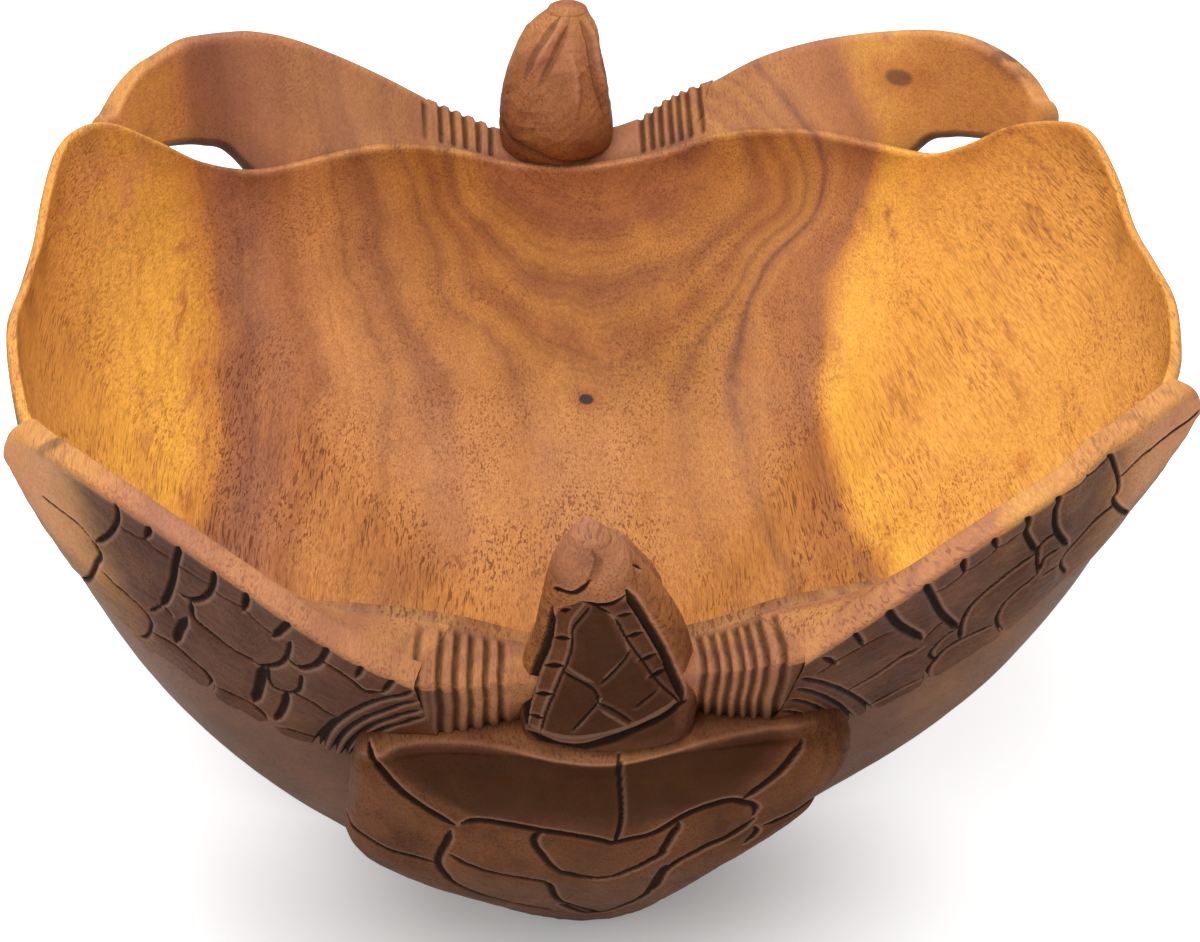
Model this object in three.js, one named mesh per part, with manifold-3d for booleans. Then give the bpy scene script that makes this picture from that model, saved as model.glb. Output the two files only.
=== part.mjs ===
// A carved wooden fruit bowl. Two sea turtles climb its ends: heads over the rim, flippers spread along it.
// Millimetres, +Z up, origin on the table under the middle of the bowl.
// +X is the right side and +Y runs from the front turtle to the rear one.
import * as THREE from "three";
import { mergeVertices } from "three/addons/utils/BufferGeometryUtils.js";
import Module from "manifold-3d";

// Rim and foot, seen from above: rounded rectangles, where a higher squareness fills the corners more.
const rimHalfWidth = 158;
const rimHalfLength = 149;
const rimSquareness = 3;
const footHalfWidth = 58.5;
const footHalfLength = 92;
const footSquareness = 2.4;
const footShift = 16;

// The wall swells out from the foot and steepens towards the rim, more at the ends and on the left.
const wallSwell = 1.58;
const leftSwell = 0.16;
const endSwell = 0.26;

// The lip is thin on the side lobes and broad at the necks.
const sideLip = 3.8;
const endLip = 7;
const lipRound = 2.2;

// The hollow follows the wall on the inside and rounds over into the floor.
const floorHeight = 13;
const footThickness = 14;
const hollowRound = 3.2;

// Neighbouring forms meet along a line this wide.
const jointGap = 0.3;

// How far a carved form reaches into the wall before it is trimmed back to the wall's face.
const rootDepth = 4;

// The inner face of a flipper or collar starts this far below the rim.
const creaseDrop = 1;

// Height of the wavy rim by the angle round the bowl, from +X towards +Y.
const rimWave = [
  [0, 146.3], [12, 142.8], [20, 149.5], [27, 154], [33, 150], [40, 141], [45, 131], [50, 124.5],
  [64, 127.5], [73, 125], [80, 118.5], [90, 114.5], [98, 116], [105, 121], [113, 123.5], [126, 120],
  [133, 127], [139, 139.5], [146, 152.5], [152, 157], [157, 156.5], [162, 150.4], [168, 143], [178, 143.5],
  [186, 147], [194, 151], [200, 148], [207, 142], [214, 140], [221, 131.5], [230, 122.5], [247, 122.5],
  [255, 120], [262, 115], [270, 113.5], [279, 117], [287, 123.5], [298, 126.5], [310, 124],
  [316, 131.5], [323, 142], [331, 149.5], [340, 148.5], [348, 150.6], [360, 146.3],
];

// Flippers by the angle from the neck: reach of the ridge past the rim, height of the ridge,
// height of the lower edge, reach of the lower edge past the wall, and 1 where the blade stands free.
const leftFrontBlade = [
  [15.2, 34, 122, 75.5, -1.5, 0], [19, 35.5, 129, 69.5, -1.5, 0], [23, 34.4, 136.5, 66.5, -1.5, 0],
  [28, 30.6, 145, 66.5, -1.5, 0], [33, 27.2, 152, 69.5, -1.5, 0], [38.5, 23, 157, 75.5, -1.5, 0],
  [43, 19.2, 158.6, 85.5, -1.5, 0], [47.5, 14.6, 157, 104, 2, 0], [52, 10.4, 153.6, 122, 5.5, 0],
  [55.3, 9, 152, 138, 7.5, 0],
];
const rightFrontBlade = [
  [14.2, 34.5, 127.5, 77.5, -1.5, 0], [18.6, 33, 135.7, 73.5, -1.5, 0], [23.8, 29, 143.7, 73.5, -1.5, 0],
  [29.4, 24, 150.3, 78.5, -1.5, 0], [34, 20, 154, 86, -1.5, 0], [38, 17, 156.6, 95.5, -1.5, 0],
  [42, 12, 158, 106, -1.5, 0], [47, 8.6, 157.4, 117, 1, 0], [51.5, 7.2, 157, 125, 2.5, 0],
  [55, 7.4, 156.6, 135, 4.5, 0], [57, 7.6, 155.6, 144, 6, 0],
];
const leftRearBlade = [
  [15.2, 34, 124.5, 75.5, -1.5, 0], [19, 35.5, 132, 70.5, -1.5, 0], [23, 34.6, 139.8, 68.5, -1.5, 0],
  [28, 31, 149, 71.5, -1.5, 0], [32, 28.2, 154, 81.5, -1.5, 0], [34.5, 26.4, 155.6, 105, 8, 0.4],
  [37, 24.2, 157, 121.5, 14.5, 1], [40, 21.2, 158.4, 127, 14, 1], [43.5, 16.8, 158, 130, 13, 1],
  [47, 13.4, 157.2, 132, 11, 1], [50, 11, 154.2, 135, 9, 1], [52.6, 9, 149.5, 139, 7.5, 1],
];
const rightRearBlade = [
  [14.2, 34.5, 128, 77.5, -1.5, 0], [18.6, 33, 137, 72.5, -1.5, 0], [23.8, 29, 144.7, 71.5, -1.5, 0],
  [28.5, 25.5, 149.8, 75.5, -1.5, 0], [32.5, 22.8, 153.4, 85.5, -1.5, 0], [35, 21.5, 155.3, 106, 7.5, 0.4],
  [37.5, 20, 156.7, 122, 13.5, 1], [40.5, 18, 157.6, 127, 13, 1], [44, 14.8, 157.4, 129.5, 12, 1],
  [47, 12.3, 156.2, 132, 10, 1], [49.8, 10.6, 153.4, 134.5, 8.5, 1], [52, 9.2, 149, 138, 7, 1],
];
const bladeThickness = 7;
const faceSwell = 3.5;
const ridgeRound = 2.2;

// Flat band along the top of a blade: its inner edge lies this far in from the ridge and this much higher.
const bandWidth = 7;
const bandRise = 1.5;

// The collars of skin between the flippers, in the same columns, from the left flipper to the right one.
const rearCollar = [
  [-14.8, 33.7, 124, 75.9, -1.5, 0], [-11, 27.5, 120, 82.5, -1.5, 0], [-7, 19, 117.5, 89.5, -1.5, 0],
  [0, 18, 117, 93.5, -1.5, 0], [6.5, 20.5, 120, 89.5, -1.5, 0], [10.2, 29.6, 125, 83.5, -1.5, 0],
  [13.8, 34.2, 128.2, 77.9, -1.5, 0],
];
const frontCollar = [
  [-14.8, 33.7, 121.5, 75.9, -1.5, 0], [-11, 27.5, 117.5, 82.5, -1.5, 0], [-7, 19, 114, 89.5, -1.5, 0],
  [0, 18, 112, 93.5, -1.5, 0], [6.5, 20.5, 116.5, 89.5, -1.5, 0], [10.2, 29.6, 122.5, 83.5, -1.5, 0],
  [13.8, 34.2, 127.6, 77.9, -1.5, 0],
];

// Shell on the end wall. Its outline runs round from the right, over the top:
// turn, degrees from the neck, height.
const shellOutline = [
  [0, 20.6, 74], [26, 22, 90], [51, 14, 98.5], [77, 0, 98], [103, -14, 98.5], [129, -22, 92],
  [154, -24.6, 73.5], [180, -26.3, 51], [206, -21.5, 28.5], [231, -11.5, 9], [257, -1, 1.4], [283, 7, 10],
  [309, 12.2, 40], [334, 19.2, 65], [360, 20.6, 74],
];
const shellMiddle = [-1, 58];

// How far the shell stands proud of the wall, by height.
const shellProud = [[0, 17.5], [18, 18], [36, 23.8], [55, 28], [78, 27.5], [98, 25]];

// Heads: centre of each slice (along X, outwards from the bowl's middle, height) and its half sizes.
const frontHeadSlices = [
  [-1.2, 161, 97.5, 21, 11.5], [-1.2, 161, 105, 22, 13], [-0.9, 160.5, 112, 21.8, 13.5],
  [-0.9, 158.5, 118, 20.5, 15.5], [-0.6, 158, 124, 18.6, 16.5], [-2, 160.5, 134, 15.3, 15.5],
  [-4.2, 164, 144, 11.4, 13], [-5.4, 167, 151.5, 7.9, 9.5], [-6.1, 169, 156, 4.3, 6], [-6.3, 169.5, 157.8, 1.2, 2],
];
const rearHeadSlices = [
  [-5.8, 161, 97.5, 16, 11.5], [-5.8, 161, 105, 17.4, 13], [-5.8, 160.5, 112, 17.5, 13.5],
  [-5.8, 158.5, 118, 17.7, 15.5], [-5.9, 158, 124, 18, 16.5], [-6, 160.5, 134, 16.9, 15.5],
  [-5.4, 164, 144, 14.2, 13], [-3.9, 167, 152, 10.8, 9.5], [-1.8, 169, 157.5, 6.2, 6], [0.4, 169.5, 160, 1.6, 2],
];

const wasm = await Module();
wasm.setup();

const degrees = Math.PI / 180;

// A smooth value through [position, value] pairs; a closed list repeats after its last position.
function smoothThrough(list, position, column = 1, closed = false) {
  const last = list.length - 1;
  let i = 0;
  while (i < last - 1 && position > list[i + 1][0]) i += 1;
  const pick = (k) => {
    if (closed && k < 0) return [list[last + k][0] - 360, list[last + k][column]];
    if (closed && k > last) return [list[k - last][0] + 360, list[k - last][column]];
    const held = Math.min(Math.max(k, 0), last);
    return [list[held][0], list[held][column]];
  };
  const [before, from, to, after] = [pick(i - 1), pick(i), pick(i + 1), pick(i + 2)];
  const span = to[0] - from[0];
  const slopeFrom = (to[1] - before[1]) / (to[0] - before[0]);
  const slopeTo = (after[1] - from[1]) / (after[0] - from[0]);
  const t = (position - from[0]) / span;
  return (
    from[1] * (1 + 2 * t) * (1 - t) ** 2 + span * slopeFrom * t * (1 - t) ** 2 +
    to[1] * t * t * (3 - 2 * t) + span * slopeTo * t * t * (t - 1)
  );
}

// Distance from the middle to a rounded rectangle at an angle.
function planRadius(angle, halfWidth, halfLength, squareness) {
  const x = Math.abs(Math.cos(angle)) / halfWidth;
  const y = Math.abs(Math.sin(angle)) / halfLength;
  return (x ** squareness + y ** squareness) ** (-1 / squareness);
}

function rimRadius(angle) {
  return planRadius(angle, rimHalfWidth, rimHalfLength, rimSquareness);
}

function rimHeight(angle) {
  const turn = (((angle / degrees) % 360) + 360) % 360;
  return smoothThrough(rimWave, turn, 1, true);
}

// Radius of the outside of the wall at a height.
function wallRadius(angle, height) {
  const foot = planRadius(angle, footHalfWidth, footHalfLength, footSquareness) - footShift * Math.cos(angle);
  const share = Math.min(Math.max(height / rimHeight(angle), 0), 1);
  const swell = wallSwell - leftSwell * Math.cos(angle) + endSwell * Math.sin(angle) ** 2;
  return foot + (rimRadius(angle) - foot) * (1 - (1 - share) ** swell);
}

function lipWidth(angle) {
  return sideLip + (endLip - sideLip) * Math.sin(angle) ** 2;
}

function at(angle, radius, height) {
  return new THREE.Vector3(radius * Math.cos(angle), radius * Math.sin(angle), height);
}

// A closed skin over a row of rings that all have the same number of points.
function loft(rings) {
  const count = rings[0].length;
  const points = rings.flat();
  const faces = [];
  for (let r = 0; r < rings.length - 1; r += 1) {
    for (let i = 0; i < count; i += 1) {
      const a = r * count + i;
      const b = r * count + ((i + 1) % count);
      faces.push([a, b, a + count], [b, b + count, a + count]);
    }
  }
  for (const [ring, start, turned] of [[rings[0], 0, true], [rings.at(-1), points.length - count, false]]) {
    const middle = new THREE.Vector3();
    ring.forEach((p) => middle.addScaledVector(p, 1 / count));
    const centre = points.push(middle) - 1;
    for (let i = 0; i < count; i += 1) {
      const a = start + i;
      const b = start + ((i + 1) % count);
      faces.push(turned ? [b, a, centre] : [a, b, centre]);
    }
  }
  const volume = faces.reduce((sum, [a, b, c]) => sum + points[a].dot(points[b].clone().cross(points[c])), 0);
  if (volume < 0) faces.forEach((face) => face.reverse());
  const geometry = new THREE.BufferGeometry().setFromPoints(points);
  geometry.setIndex(faces.flat());
  return geometry;
}

function solidOf(geometry) {
  const merged = mergeVertices(geometry, 1e-4);
  const vertProperties = new Float32Array(merged.getAttribute("position").array);
  const triVerts = new Uint32Array(merged.index.array);
  return new wasm.Manifold(new wasm.Mesh({ numProp: 3, vertProperties, triVerts }));
}

function geometryOf(solid) {
  const mesh = solid.getMesh();
  const geometry = new THREE.BufferGeometry();
  geometry.setAttribute("position", new THREE.BufferAttribute(mesh.vertProperties, 3));
  geometry.setIndex(new THREE.BufferAttribute(mesh.triVerts, 1));
  geometry.computeVertexNormals();
  return geometry;
}

function ringRound(count, place) {
  return Array.from({ length: count }, (_, i) => place((i / count) * 2 * Math.PI));
}

// The bowl's outside as rings from the foot to the lip, grown by a gap where it is used to trim a neighbour.
const roundSteps = 96;
const wallSteps = 10;

function outsideRings(grow) {
  const rings = [];
  for (let s = 0; s <= wallSteps; s += 1) {
    const share = s / wallSteps;
    rings.push(
      ringRound(roundSteps, (angle) => {
        const height = (rimHeight(angle) - lipRound) * share;
        return at(angle, wallRadius(angle, height) + grow, height - (s === 0 ? grow : 0));
      }),
    );
  }
  return rings;
}

// Half-round lip along the top of the wall, from its outer face to its inner face.
function lipRings(grow) {
  const lipSteps = 4;
  const rings = [];
  for (let s = 1; s < lipSteps; s += 1) {
    const turn = (s / lipSteps) * Math.PI;
    rings.push(
      ringRound(roundSteps, (angle) => {
        const halfLip = lipWidth(angle) / 2;
        const height = rimHeight(angle) - lipRound + (lipRound + grow) * Math.sin(turn);
        return at(angle, rimRadius(angle) - halfLip + (halfLip + grow) * Math.cos(turn), height);
      }),
    );
  }
  return rings;
}

function bowlBody() {
  const rings = [...outsideRings(0), ...lipRings(0)];
  const hollowSteps = 12;
  for (let s = 0; s < hollowSteps; s += 1) {
    const turn = (1 - s / hollowSteps) * 90 * degrees;
    const out = Math.sin(turn) ** (2 / hollowRound);
    const up = 1 - Math.cos(turn) ** (2 / hollowRound);
    rings.push(
      ringRound(roundSteps, (angle) => {
        const height = floorHeight + (rimHeight(angle) - lipRound - floorHeight) * up;
        const thickness = lipWidth(angle) + (footThickness - lipWidth(angle)) * (1 - up) ** 1.5;
        return at(angle, (wallRadius(angle, height) - thickness) * out, height);
      }),
    );
  }
  return loft(rings);
}

// The filled outside of the bowl, a gap larger, which trims what is carved on it.
function bowlOutside() {
  return solidOf(loft([...outsideRings(jointGap), ...lipRings(jointGap)]));
}

// One slice of a flipper or collar, square to the rim: from the crease by the lip, up the inner face,
// over the flat band, down the swollen outer face to the lower edge, and back inside the wall.
function bladeSlice(blade, fromNeck, angle, grow) {
  const [reach, top, low, lowReach, free] = [1, 2, 3, 4, 5].map((c) => smoothThrough(blade, fromNeck, c));
  const wall = (height) => wallRadius(angle, height);
  const mix = (a, b) => new THREE.Vector2().lerpVectors(a, b, Math.min(Math.max(free, 0), 1));
  const ridge = new THREE.Vector2(rimRadius(angle) + reach, top);
  const lowOut = new THREE.Vector2(wall(low) + lowReach, low);
  const creaseHeight = Math.min(rimHeight(angle) - creaseDrop, top - creaseDrop);
  const crease = mix(
    new THREE.Vector2(wall(creaseHeight) - rootDepth, creaseHeight),
    new THREE.Vector2(lowOut.x - bladeThickness, low + 2),
  );
  const root = mix(
    new THREE.Vector2(wall(low) - rootDepth, low + 2),
    new THREE.Vector2(lowOut.x - bladeThickness / 2, low - 2),
  );
  const brow = new THREE.Vector2(ridge.x - bandWidth, ridge.y + bandRise);
  const inward = brow.clone().sub(crease).normalize();
  const along = ridge.clone().sub(brow).normalize();
  const outward = ridge.clone().sub(lowOut).normalize();
  const slice = [crease];
  for (const share of [0.35, 0.7]) slice.push(new THREE.Vector2().lerpVectors(crease, brow, share));
  slice.push(brow.clone().addScaledVector(inward, -ridgeRound));
  slice.push(brow.clone().addScaledVector(along, ridgeRound / 2));
  slice.push(ridge.clone().addScaledVector(along, -ridgeRound / 2));
  slice.push(ridge.clone().addScaledVector(outward, -ridgeRound));
  for (const share of [0.25, 0.5, 0.75]) {
    const point = new THREE.Vector2().lerpVectors(ridge, lowOut, share);
    const swell = faceSwell * Math.sin(Math.PI * share);
    slice.push(point.add(new THREE.Vector2(outward.y, -outward.x).multiplyScalar(swell)));
  }
  slice.push(lowOut, root);
  return grown(slice, grow).map((p) => at(angle, p.x, p.y));
}

// A closed outline moved outwards by a gap.
function grown(outline, gap) {
  const count = outline.length;
  return outline.map((p, i) => {
    const along = outline[(i + 1) % count].clone().sub(outline[(i + count - 1) % count]).normalize();
    return new THREE.Vector2(p.x - along.y * gap, p.y + along.x * gap);
  });
}

// A flipper or a collar as slices over its stretch of the rim. Its end tapers to a rounded tip.
function bladeSolid(blade, neckAngle, side, steps, tipped, grow = 0) {
  const first = blade[0][0];
  const last = blade.at(-1)[0];
  const rings = [];
  for (let s = 0; s <= steps; s += 1) {
    const fromNeck = first + ((last - first) * s) / steps;
    rings.push(bladeSlice(blade, fromNeck, neckAngle + side * fromNeck * degrees, grow));
  }
  if (tipped) {
    const end = rings.at(-1);
    const middle = new THREE.Vector3();
    end.forEach((p) => middle.addScaledVector(p, 1 / end.length));
    const lastAngle = neckAngle + side * last * degrees;
    const tangent = new THREE.Vector3(-Math.sin(lastAngle), Math.cos(lastAngle), 0);
    for (const [along, size] of [[2.2, 0.8], [3.6, 0.45]]) {
      rings.push(end.map((p) => p.clone().lerp(middle, 1 - size).addScaledVector(tangent, side * along)));
    }
  }
  return solidOf(loft(rings));
}

// The turtle's shell: rings shrink from its outline towards its middle while it swells off the wall.
function shellSolid(neckAngle, side) {
  const swellSteps = [[1, -rootDepth], [1, 0.3], [0.97, 0.6], [0.9, 0.85], [0.76, 0.97], [0.5, 1], [0.22, 1]];
  const rings = swellSteps.map(([size, share]) =>
    ringRound(42, (turn) => {
      const [across, height] = shellMiddle.map((middle, c) => {
        const edge = smoothThrough(shellOutline, turn / degrees, c + 1, true);
        return middle + (edge - middle) * size;
      });
      const angle = neckAngle + side * across * degrees;
      const proud = share < 0 ? share : share * smoothThrough(shellProud, height);
      return at(angle, wallRadius(angle, height) + proud, height);
    }),
  );
  return solidOf(loft(rings));
}

// The head rises out of the collar and leans a little to one side.
function headSolid(slices, towardsRear, grow) {
  const rings = slices.map(([sideways, outwards, height, halfWidth, halfDepth], i) => {
    const lift = i === 0 ? -grow : i === slices.length - 1 ? grow : 0;
    return ringRound(28, (turn) => {
      const x = sideways + (halfWidth + grow) * Math.cos(turn);
      const y = towardsRear * outwards + (halfDepth + grow) * Math.sin(turn);
      return new THREE.Vector3(x, y, height + lift);
    });
  });
  return solidOf(loft(rings));
}

// Trimming can leave a crumb beside a piece: the piece is the largest body.
function withoutCrumbs(solid) {
  return solid.decompose().reduce((largest, body) => (body.volume() > largest.volume() ? body : largest));
}

function woodMaterial(colour, roughness) {
  return new THREE.MeshStandardMaterial({ color: colour, roughness, metalness: 0 });
}

const polishedWood = woodMaterial(0xb8732f, 0.5);
const stainedWood = woodMaterial(0x6f4632, 0.6);

function meshOf(name, geometry, material) {
  const mesh = new THREE.Mesh(geometry, material);
  mesh.name = name;
  return mesh;
}

function carvedMesh(name, solid) {
  return meshOf(name, geometryOf(withoutCrumbs(solid)), stainedWood);
}

const group = new THREE.Group();
const body = bowlBody();
body.computeVertexNormals();
const bodySolid = solidOf(body);
const outside = bowlOutside();
group.add(meshOf("bowl_body", body, polishedWood));

const turtles = [
  ["front", -90 * degrees, frontHeadSlices, frontCollar, leftFrontBlade, rightFrontBlade],
  ["rear", 90 * degrees, rearHeadSlices, rearCollar, leftRearBlade, rightRearBlade],
];

for (const [end, neckAngle, slices, collar, left, right] of turtles) {
  // Turning from the neck towards the left side goes one way round at the front and the other at the rear.
  const towardsLeft = Math.sin(neckAngle);
  const head = headSolid(slices, towardsLeft, 0).subtract(bodySolid);
  const headRoom = headSolid(slices, towardsLeft, jointGap);
  const neck = bladeSolid(collar, neckAngle, -towardsLeft, 16, false).subtract(outside).subtract(headRoom);
  let shell = shellSolid(neckAngle, -towardsLeft).subtract(outside).subtract(headRoom);
  shell = shell.subtract(bladeSolid(collar, neckAngle, -towardsLeft, 16, false, jointGap));
  group.add(carvedMesh(`${end}_head`, head), carvedMesh(`${end}_neck`, neck));
  for (const [side, blade, turn] of [["left", left, towardsLeft], ["right", right, -towardsLeft]]) {
    const flipper = bladeSolid(blade, neckAngle, turn, 20, true).subtract(outside);
    shell = shell.subtract(bladeSolid(blade, neckAngle, turn, 20, true, jointGap));
    group.add(carvedMesh(`${end}_${side}_flipper`, flipper));
  }
  group.add(carvedMesh(`${end}_shell`, shell));
}

export default group;
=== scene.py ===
import bpy
import math
import numpy as np
from mathutils import Matrix, Vector


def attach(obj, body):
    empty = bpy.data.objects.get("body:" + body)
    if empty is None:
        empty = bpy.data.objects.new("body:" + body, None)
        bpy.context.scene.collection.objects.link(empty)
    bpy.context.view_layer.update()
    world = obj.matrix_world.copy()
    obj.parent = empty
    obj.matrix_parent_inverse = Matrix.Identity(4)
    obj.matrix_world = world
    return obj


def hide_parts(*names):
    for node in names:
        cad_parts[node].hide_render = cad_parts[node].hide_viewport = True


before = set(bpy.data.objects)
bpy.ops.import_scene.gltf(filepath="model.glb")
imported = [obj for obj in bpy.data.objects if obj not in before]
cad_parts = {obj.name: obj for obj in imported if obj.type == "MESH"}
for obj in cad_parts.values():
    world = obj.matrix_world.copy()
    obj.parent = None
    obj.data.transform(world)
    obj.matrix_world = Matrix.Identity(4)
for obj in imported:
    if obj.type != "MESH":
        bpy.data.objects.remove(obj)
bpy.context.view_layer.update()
bpy.ops.object.select_all(action="DESELECT")

# The bowl: hollowed with a gouge out of one block of tropical hardwood, sapwood at both side lobes and
# brown heartwood between them, sanded smooth and waxed. Its rim is wavy and its outside wall is stained.
# Sizes are in millimetres. carved_sheet turns them into metres.
RIM_HALF_WIDTH, RIM_HALF_LENGTH, RIM_SQUARENESS = 158, 149, 3
FOOT_HALF_WIDTH, FOOT_HALF_LENGTH, FOOT_SQUARENESS, FOOT_SHIFT = 58.5, 92, 2.4, 16
WALL_SWELL, LEFT_SWELL, END_SWELL = 1.58, 0.16, 0.26
SIDE_LIP, END_LIP, LIP_ROUND = 3.0, 5.6, 2.2
FLOOR_HEIGHT, FOOT_THICKNESS, HOLLOW_ROUND = 13, 14, 3.2
RIM_WAVE = [
    (0, 146.3), (12, 142.8), (20, 149.5), (27, 154), (33, 150), (40, 141), (45, 131), (50, 124.5),
    (64, 127.5), (73, 125), (80, 118.5), (90, 114.5), (98, 116), (105, 121), (113, 123.5), (126, 120),
    (133, 127), (139, 139.5), (146, 152.5), (152, 157), (157, 156.5), (162, 150.4), (168, 143),
    (178, 143.5), (186, 147), (194, 151), (200, 148), (207, 142), (214, 140), (221, 131.5),
    (230, 122.5), (247, 122.5), (255, 120), (262, 115), (270, 113.5), (279, 117), (287, 123.5),
    (298, 126.5), (310, 124), (316, 131.5), (323, 142), (331, 149.5), (340, 148.5), (348, 150.6),
    (360, 146.3),
]


def smooth_through(rows, position, column=1, closed=False):
    """Values of a smooth line through rows of (position, value, ...)."""
    table = np.array(rows, float)
    spots, values = table[:, 0], table[:, column]
    last = len(spots) - 1
    if closed:
        spots = np.concatenate([[spots[-2] - 360], spots, [spots[1] + 360]])
        values = np.concatenate([[values[-2]], values, [values[1]]])
    else:
        spots = np.concatenate([[spots[0]], spots, [spots[-1]]])
        values = np.concatenate([[values[0]], values, [values[-1]]])
    position = np.asarray(position, float)
    i = np.clip(np.searchsorted(table[1:, 0], position, side="left"), 0, last - 1)
    span = spots[i + 2] - spots[i + 1]
    slope_from = (values[i + 2] - values[i]) / (spots[i + 2] - spots[i])
    slope_to = (values[i + 3] - values[i + 1]) / (spots[i + 3] - spots[i + 1])
    t = (position - spots[i + 1]) / span
    return (
        values[i + 1] * (1 + 2 * t) * (1 - t) ** 2 + span * slope_from * t * (1 - t) ** 2
        + values[i + 2] * t * t * (3 - 2 * t) + span * slope_to * t * t * (t - 1)
    )


def plan_radius(angle, half_width, half_length, squareness):
    across = np.abs(np.cos(angle)) / half_width
    along = np.abs(np.sin(angle)) / half_length
    return (across ** squareness + along ** squareness) ** (-1 / squareness)


def rim_radius(angle):
    return plan_radius(angle, RIM_HALF_WIDTH, RIM_HALF_LENGTH, RIM_SQUARENESS)


def rim_height(angle):
    return smooth_through(RIM_WAVE, np.degrees(angle) % 360, 1, True)


def wall_radius(angle, height):
    foot = plan_radius(angle, FOOT_HALF_WIDTH, FOOT_HALF_LENGTH, FOOT_SQUARENESS) - FOOT_SHIFT * np.cos(angle)
    share = np.clip(height / rim_height(angle), 0, 1)
    swell = WALL_SWELL - LEFT_SWELL * np.cos(angle) + END_SWELL * np.sin(angle) ** 2
    return foot + (rim_radius(angle) - foot) * (1 - (1 - share) ** swell)


def lip_width(angle):
    return SIDE_LIP + (END_LIP - SIDE_LIP) * np.sin(angle) ** 2


def at(angle, radius, height):
    return np.stack([radius * np.cos(angle), radius * np.sin(angle), height + 0 * angle], -1)


def outward(points):
    """Unit normals of a sheet of points, by the way it runs."""
    along = np.gradient(points, axis=0)
    across = np.gradient(points, axis=1)
    normals = np.cross(along, across)
    return normals / np.maximum(np.linalg.norm(normals, axis=-1, keepdims=True), 1e-9)


def ease(low, high, value):
    """0 below low, 1 above high and smooth between them."""
    t = np.clip((value - low) / (high - low), 0, 1)
    return t * t * (3 - 2 * t)


def hand_waves(points, length, seed):
    """The slow ups and downs that a hand tool leaves, mostly between -1 and 1."""
    draw = np.random.default_rng(seed)
    total = np.zeros(points.shape[:-1])
    for _ in range(7):
        way = draw.normal(size=3)
        way *= 2 * np.pi / (length * draw.uniform(0.6, 1.6) * np.linalg.norm(way))
        total += np.sin(points @ way + draw.uniform(0, 2 * np.pi))
    return total / 4


# Edges of a sheet that lie this near to each other, in metres, are joined.
SEAM_GAP = 0.000004


def carved_sheet(name, points, finish, slot, node, **tones):
    """A sheet of squares laid to points, closed where its edges meet, that stands for a CAD node."""
    columns, rows = points.shape[0] - 1, points.shape[1] - 1
    bpy.ops.object.select_all(action="DESELECT")
    bpy.ops.mesh.primitive_grid_add(x_subdivisions=columns, y_subdivisions=rows, size=1)
    piece = bpy.context.active_object
    piece.name = piece.data.name = name
    flat = np.empty(len(piece.data.vertices) * 3)
    piece.data.vertices.foreach_get("co", flat)
    flat = flat.reshape(-1, 3) + 0.5
    column = np.rint(flat[:, 0] * columns).astype(int)
    row = np.rint(flat[:, 1] * rows).astype(int)
    piece.data.vertices.foreach_set("co", (points[column, row] / 1000).astype(np.float32).ravel())
    tones["ring"] = ring_number(points)
    for tone, values in tones.items():
        layer = piece.data.attributes.new(tone, "FLOAT", "POINT")
        layer.data.foreach_set("value", values[column, row].astype(np.float32))
    bpy.ops.object.mode_set(mode="EDIT")
    bpy.ops.mesh.select_all(action="SELECT")
    bpy.ops.mesh.remove_doubles(threshold=SEAM_GAP)
    bpy.ops.mesh.normals_make_consistent(inside=False)
    bpy.ops.object.mode_set(mode="OBJECT")
    bpy.ops.object.shade_smooth()
    piece.data.materials.append(finish)
    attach(piece, "root")
    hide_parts(node)


def fill_ramp(ramp, stops):
    """Colours of a ramp by their place from 0 to 1."""
    while len(ramp.elements) < len(stops):
        ramp.elements.new(0.5)
    for element, (place, colour) in zip(ramp.elements, stops):
        element.position = place
        element.color = (*colour, 1)


def add_node(tree, kind, settings=None, values=None, out=0):
    """A node with its settings first and then the numbers or links of its sockets. Gives one of its ends."""
    made = tree.nodes.new(kind)
    for key, value in (settings or {}).items():
        if key == "stops":
            fill_ramp(made.color_ramp, value)
        else:
            setattr(made, key, value)
    for key, value in (values or {}).items():
        if isinstance(value, Wire):
            tree.links.new(value.socket, made.inputs[key])
        else:
            made.inputs[key].default_value = value
    return Wire(tree, made.outputs[out]) if len(made.outputs) else None


class Wire:
    """A socket of a material's nodes. Python's own signs between two of them add a Math node."""

    def __init__(self, tree, socket):
        self.tree = tree
        self.socket = socket

    def math(self, operation, *values):
        return add_node(self.tree, "ShaderNodeMath", {"operation": operation}, dict(enumerate(values)))

    def __add__(self, other):
        return self.math("ADD", self, other)

    def __radd__(self, other):
        return self.math("ADD", other, self)

    def __sub__(self, other):
        return self.math("SUBTRACT", self, other)

    def __rsub__(self, other):
        return self.math("SUBTRACT", other, self)

    def __mul__(self, other):
        return self.math("MULTIPLY", self, other)

    def __rmul__(self, other):
        return self.math("MULTIPLY", other, self)

    def __truediv__(self, other):
        return self.math("DIVIDE", self, other)

    def least(self, other):
        return self.math("MINIMUM", self, other)

    def most(self, other):
        return self.math("MAXIMUM", self, other)

    def size(self):
        return self.math("ABSOLUTE", self)

    def ease(self, low, high):
        """0 below low, 1 above high and smooth between them."""
        settings = {"interpolation_type": "SMOOTHSTEP"}
        values = {"Value": self, "From Min": low, "From Max": high}
        return add_node(self.tree, "ShaderNodeMapRange", settings, values, "Result")

    def bump_round(self, middle, half):
        """1 at the middle value and 0 beyond half on either side."""
        return 1 - ((self - middle) / half).size().ease(0, 1)


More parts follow.
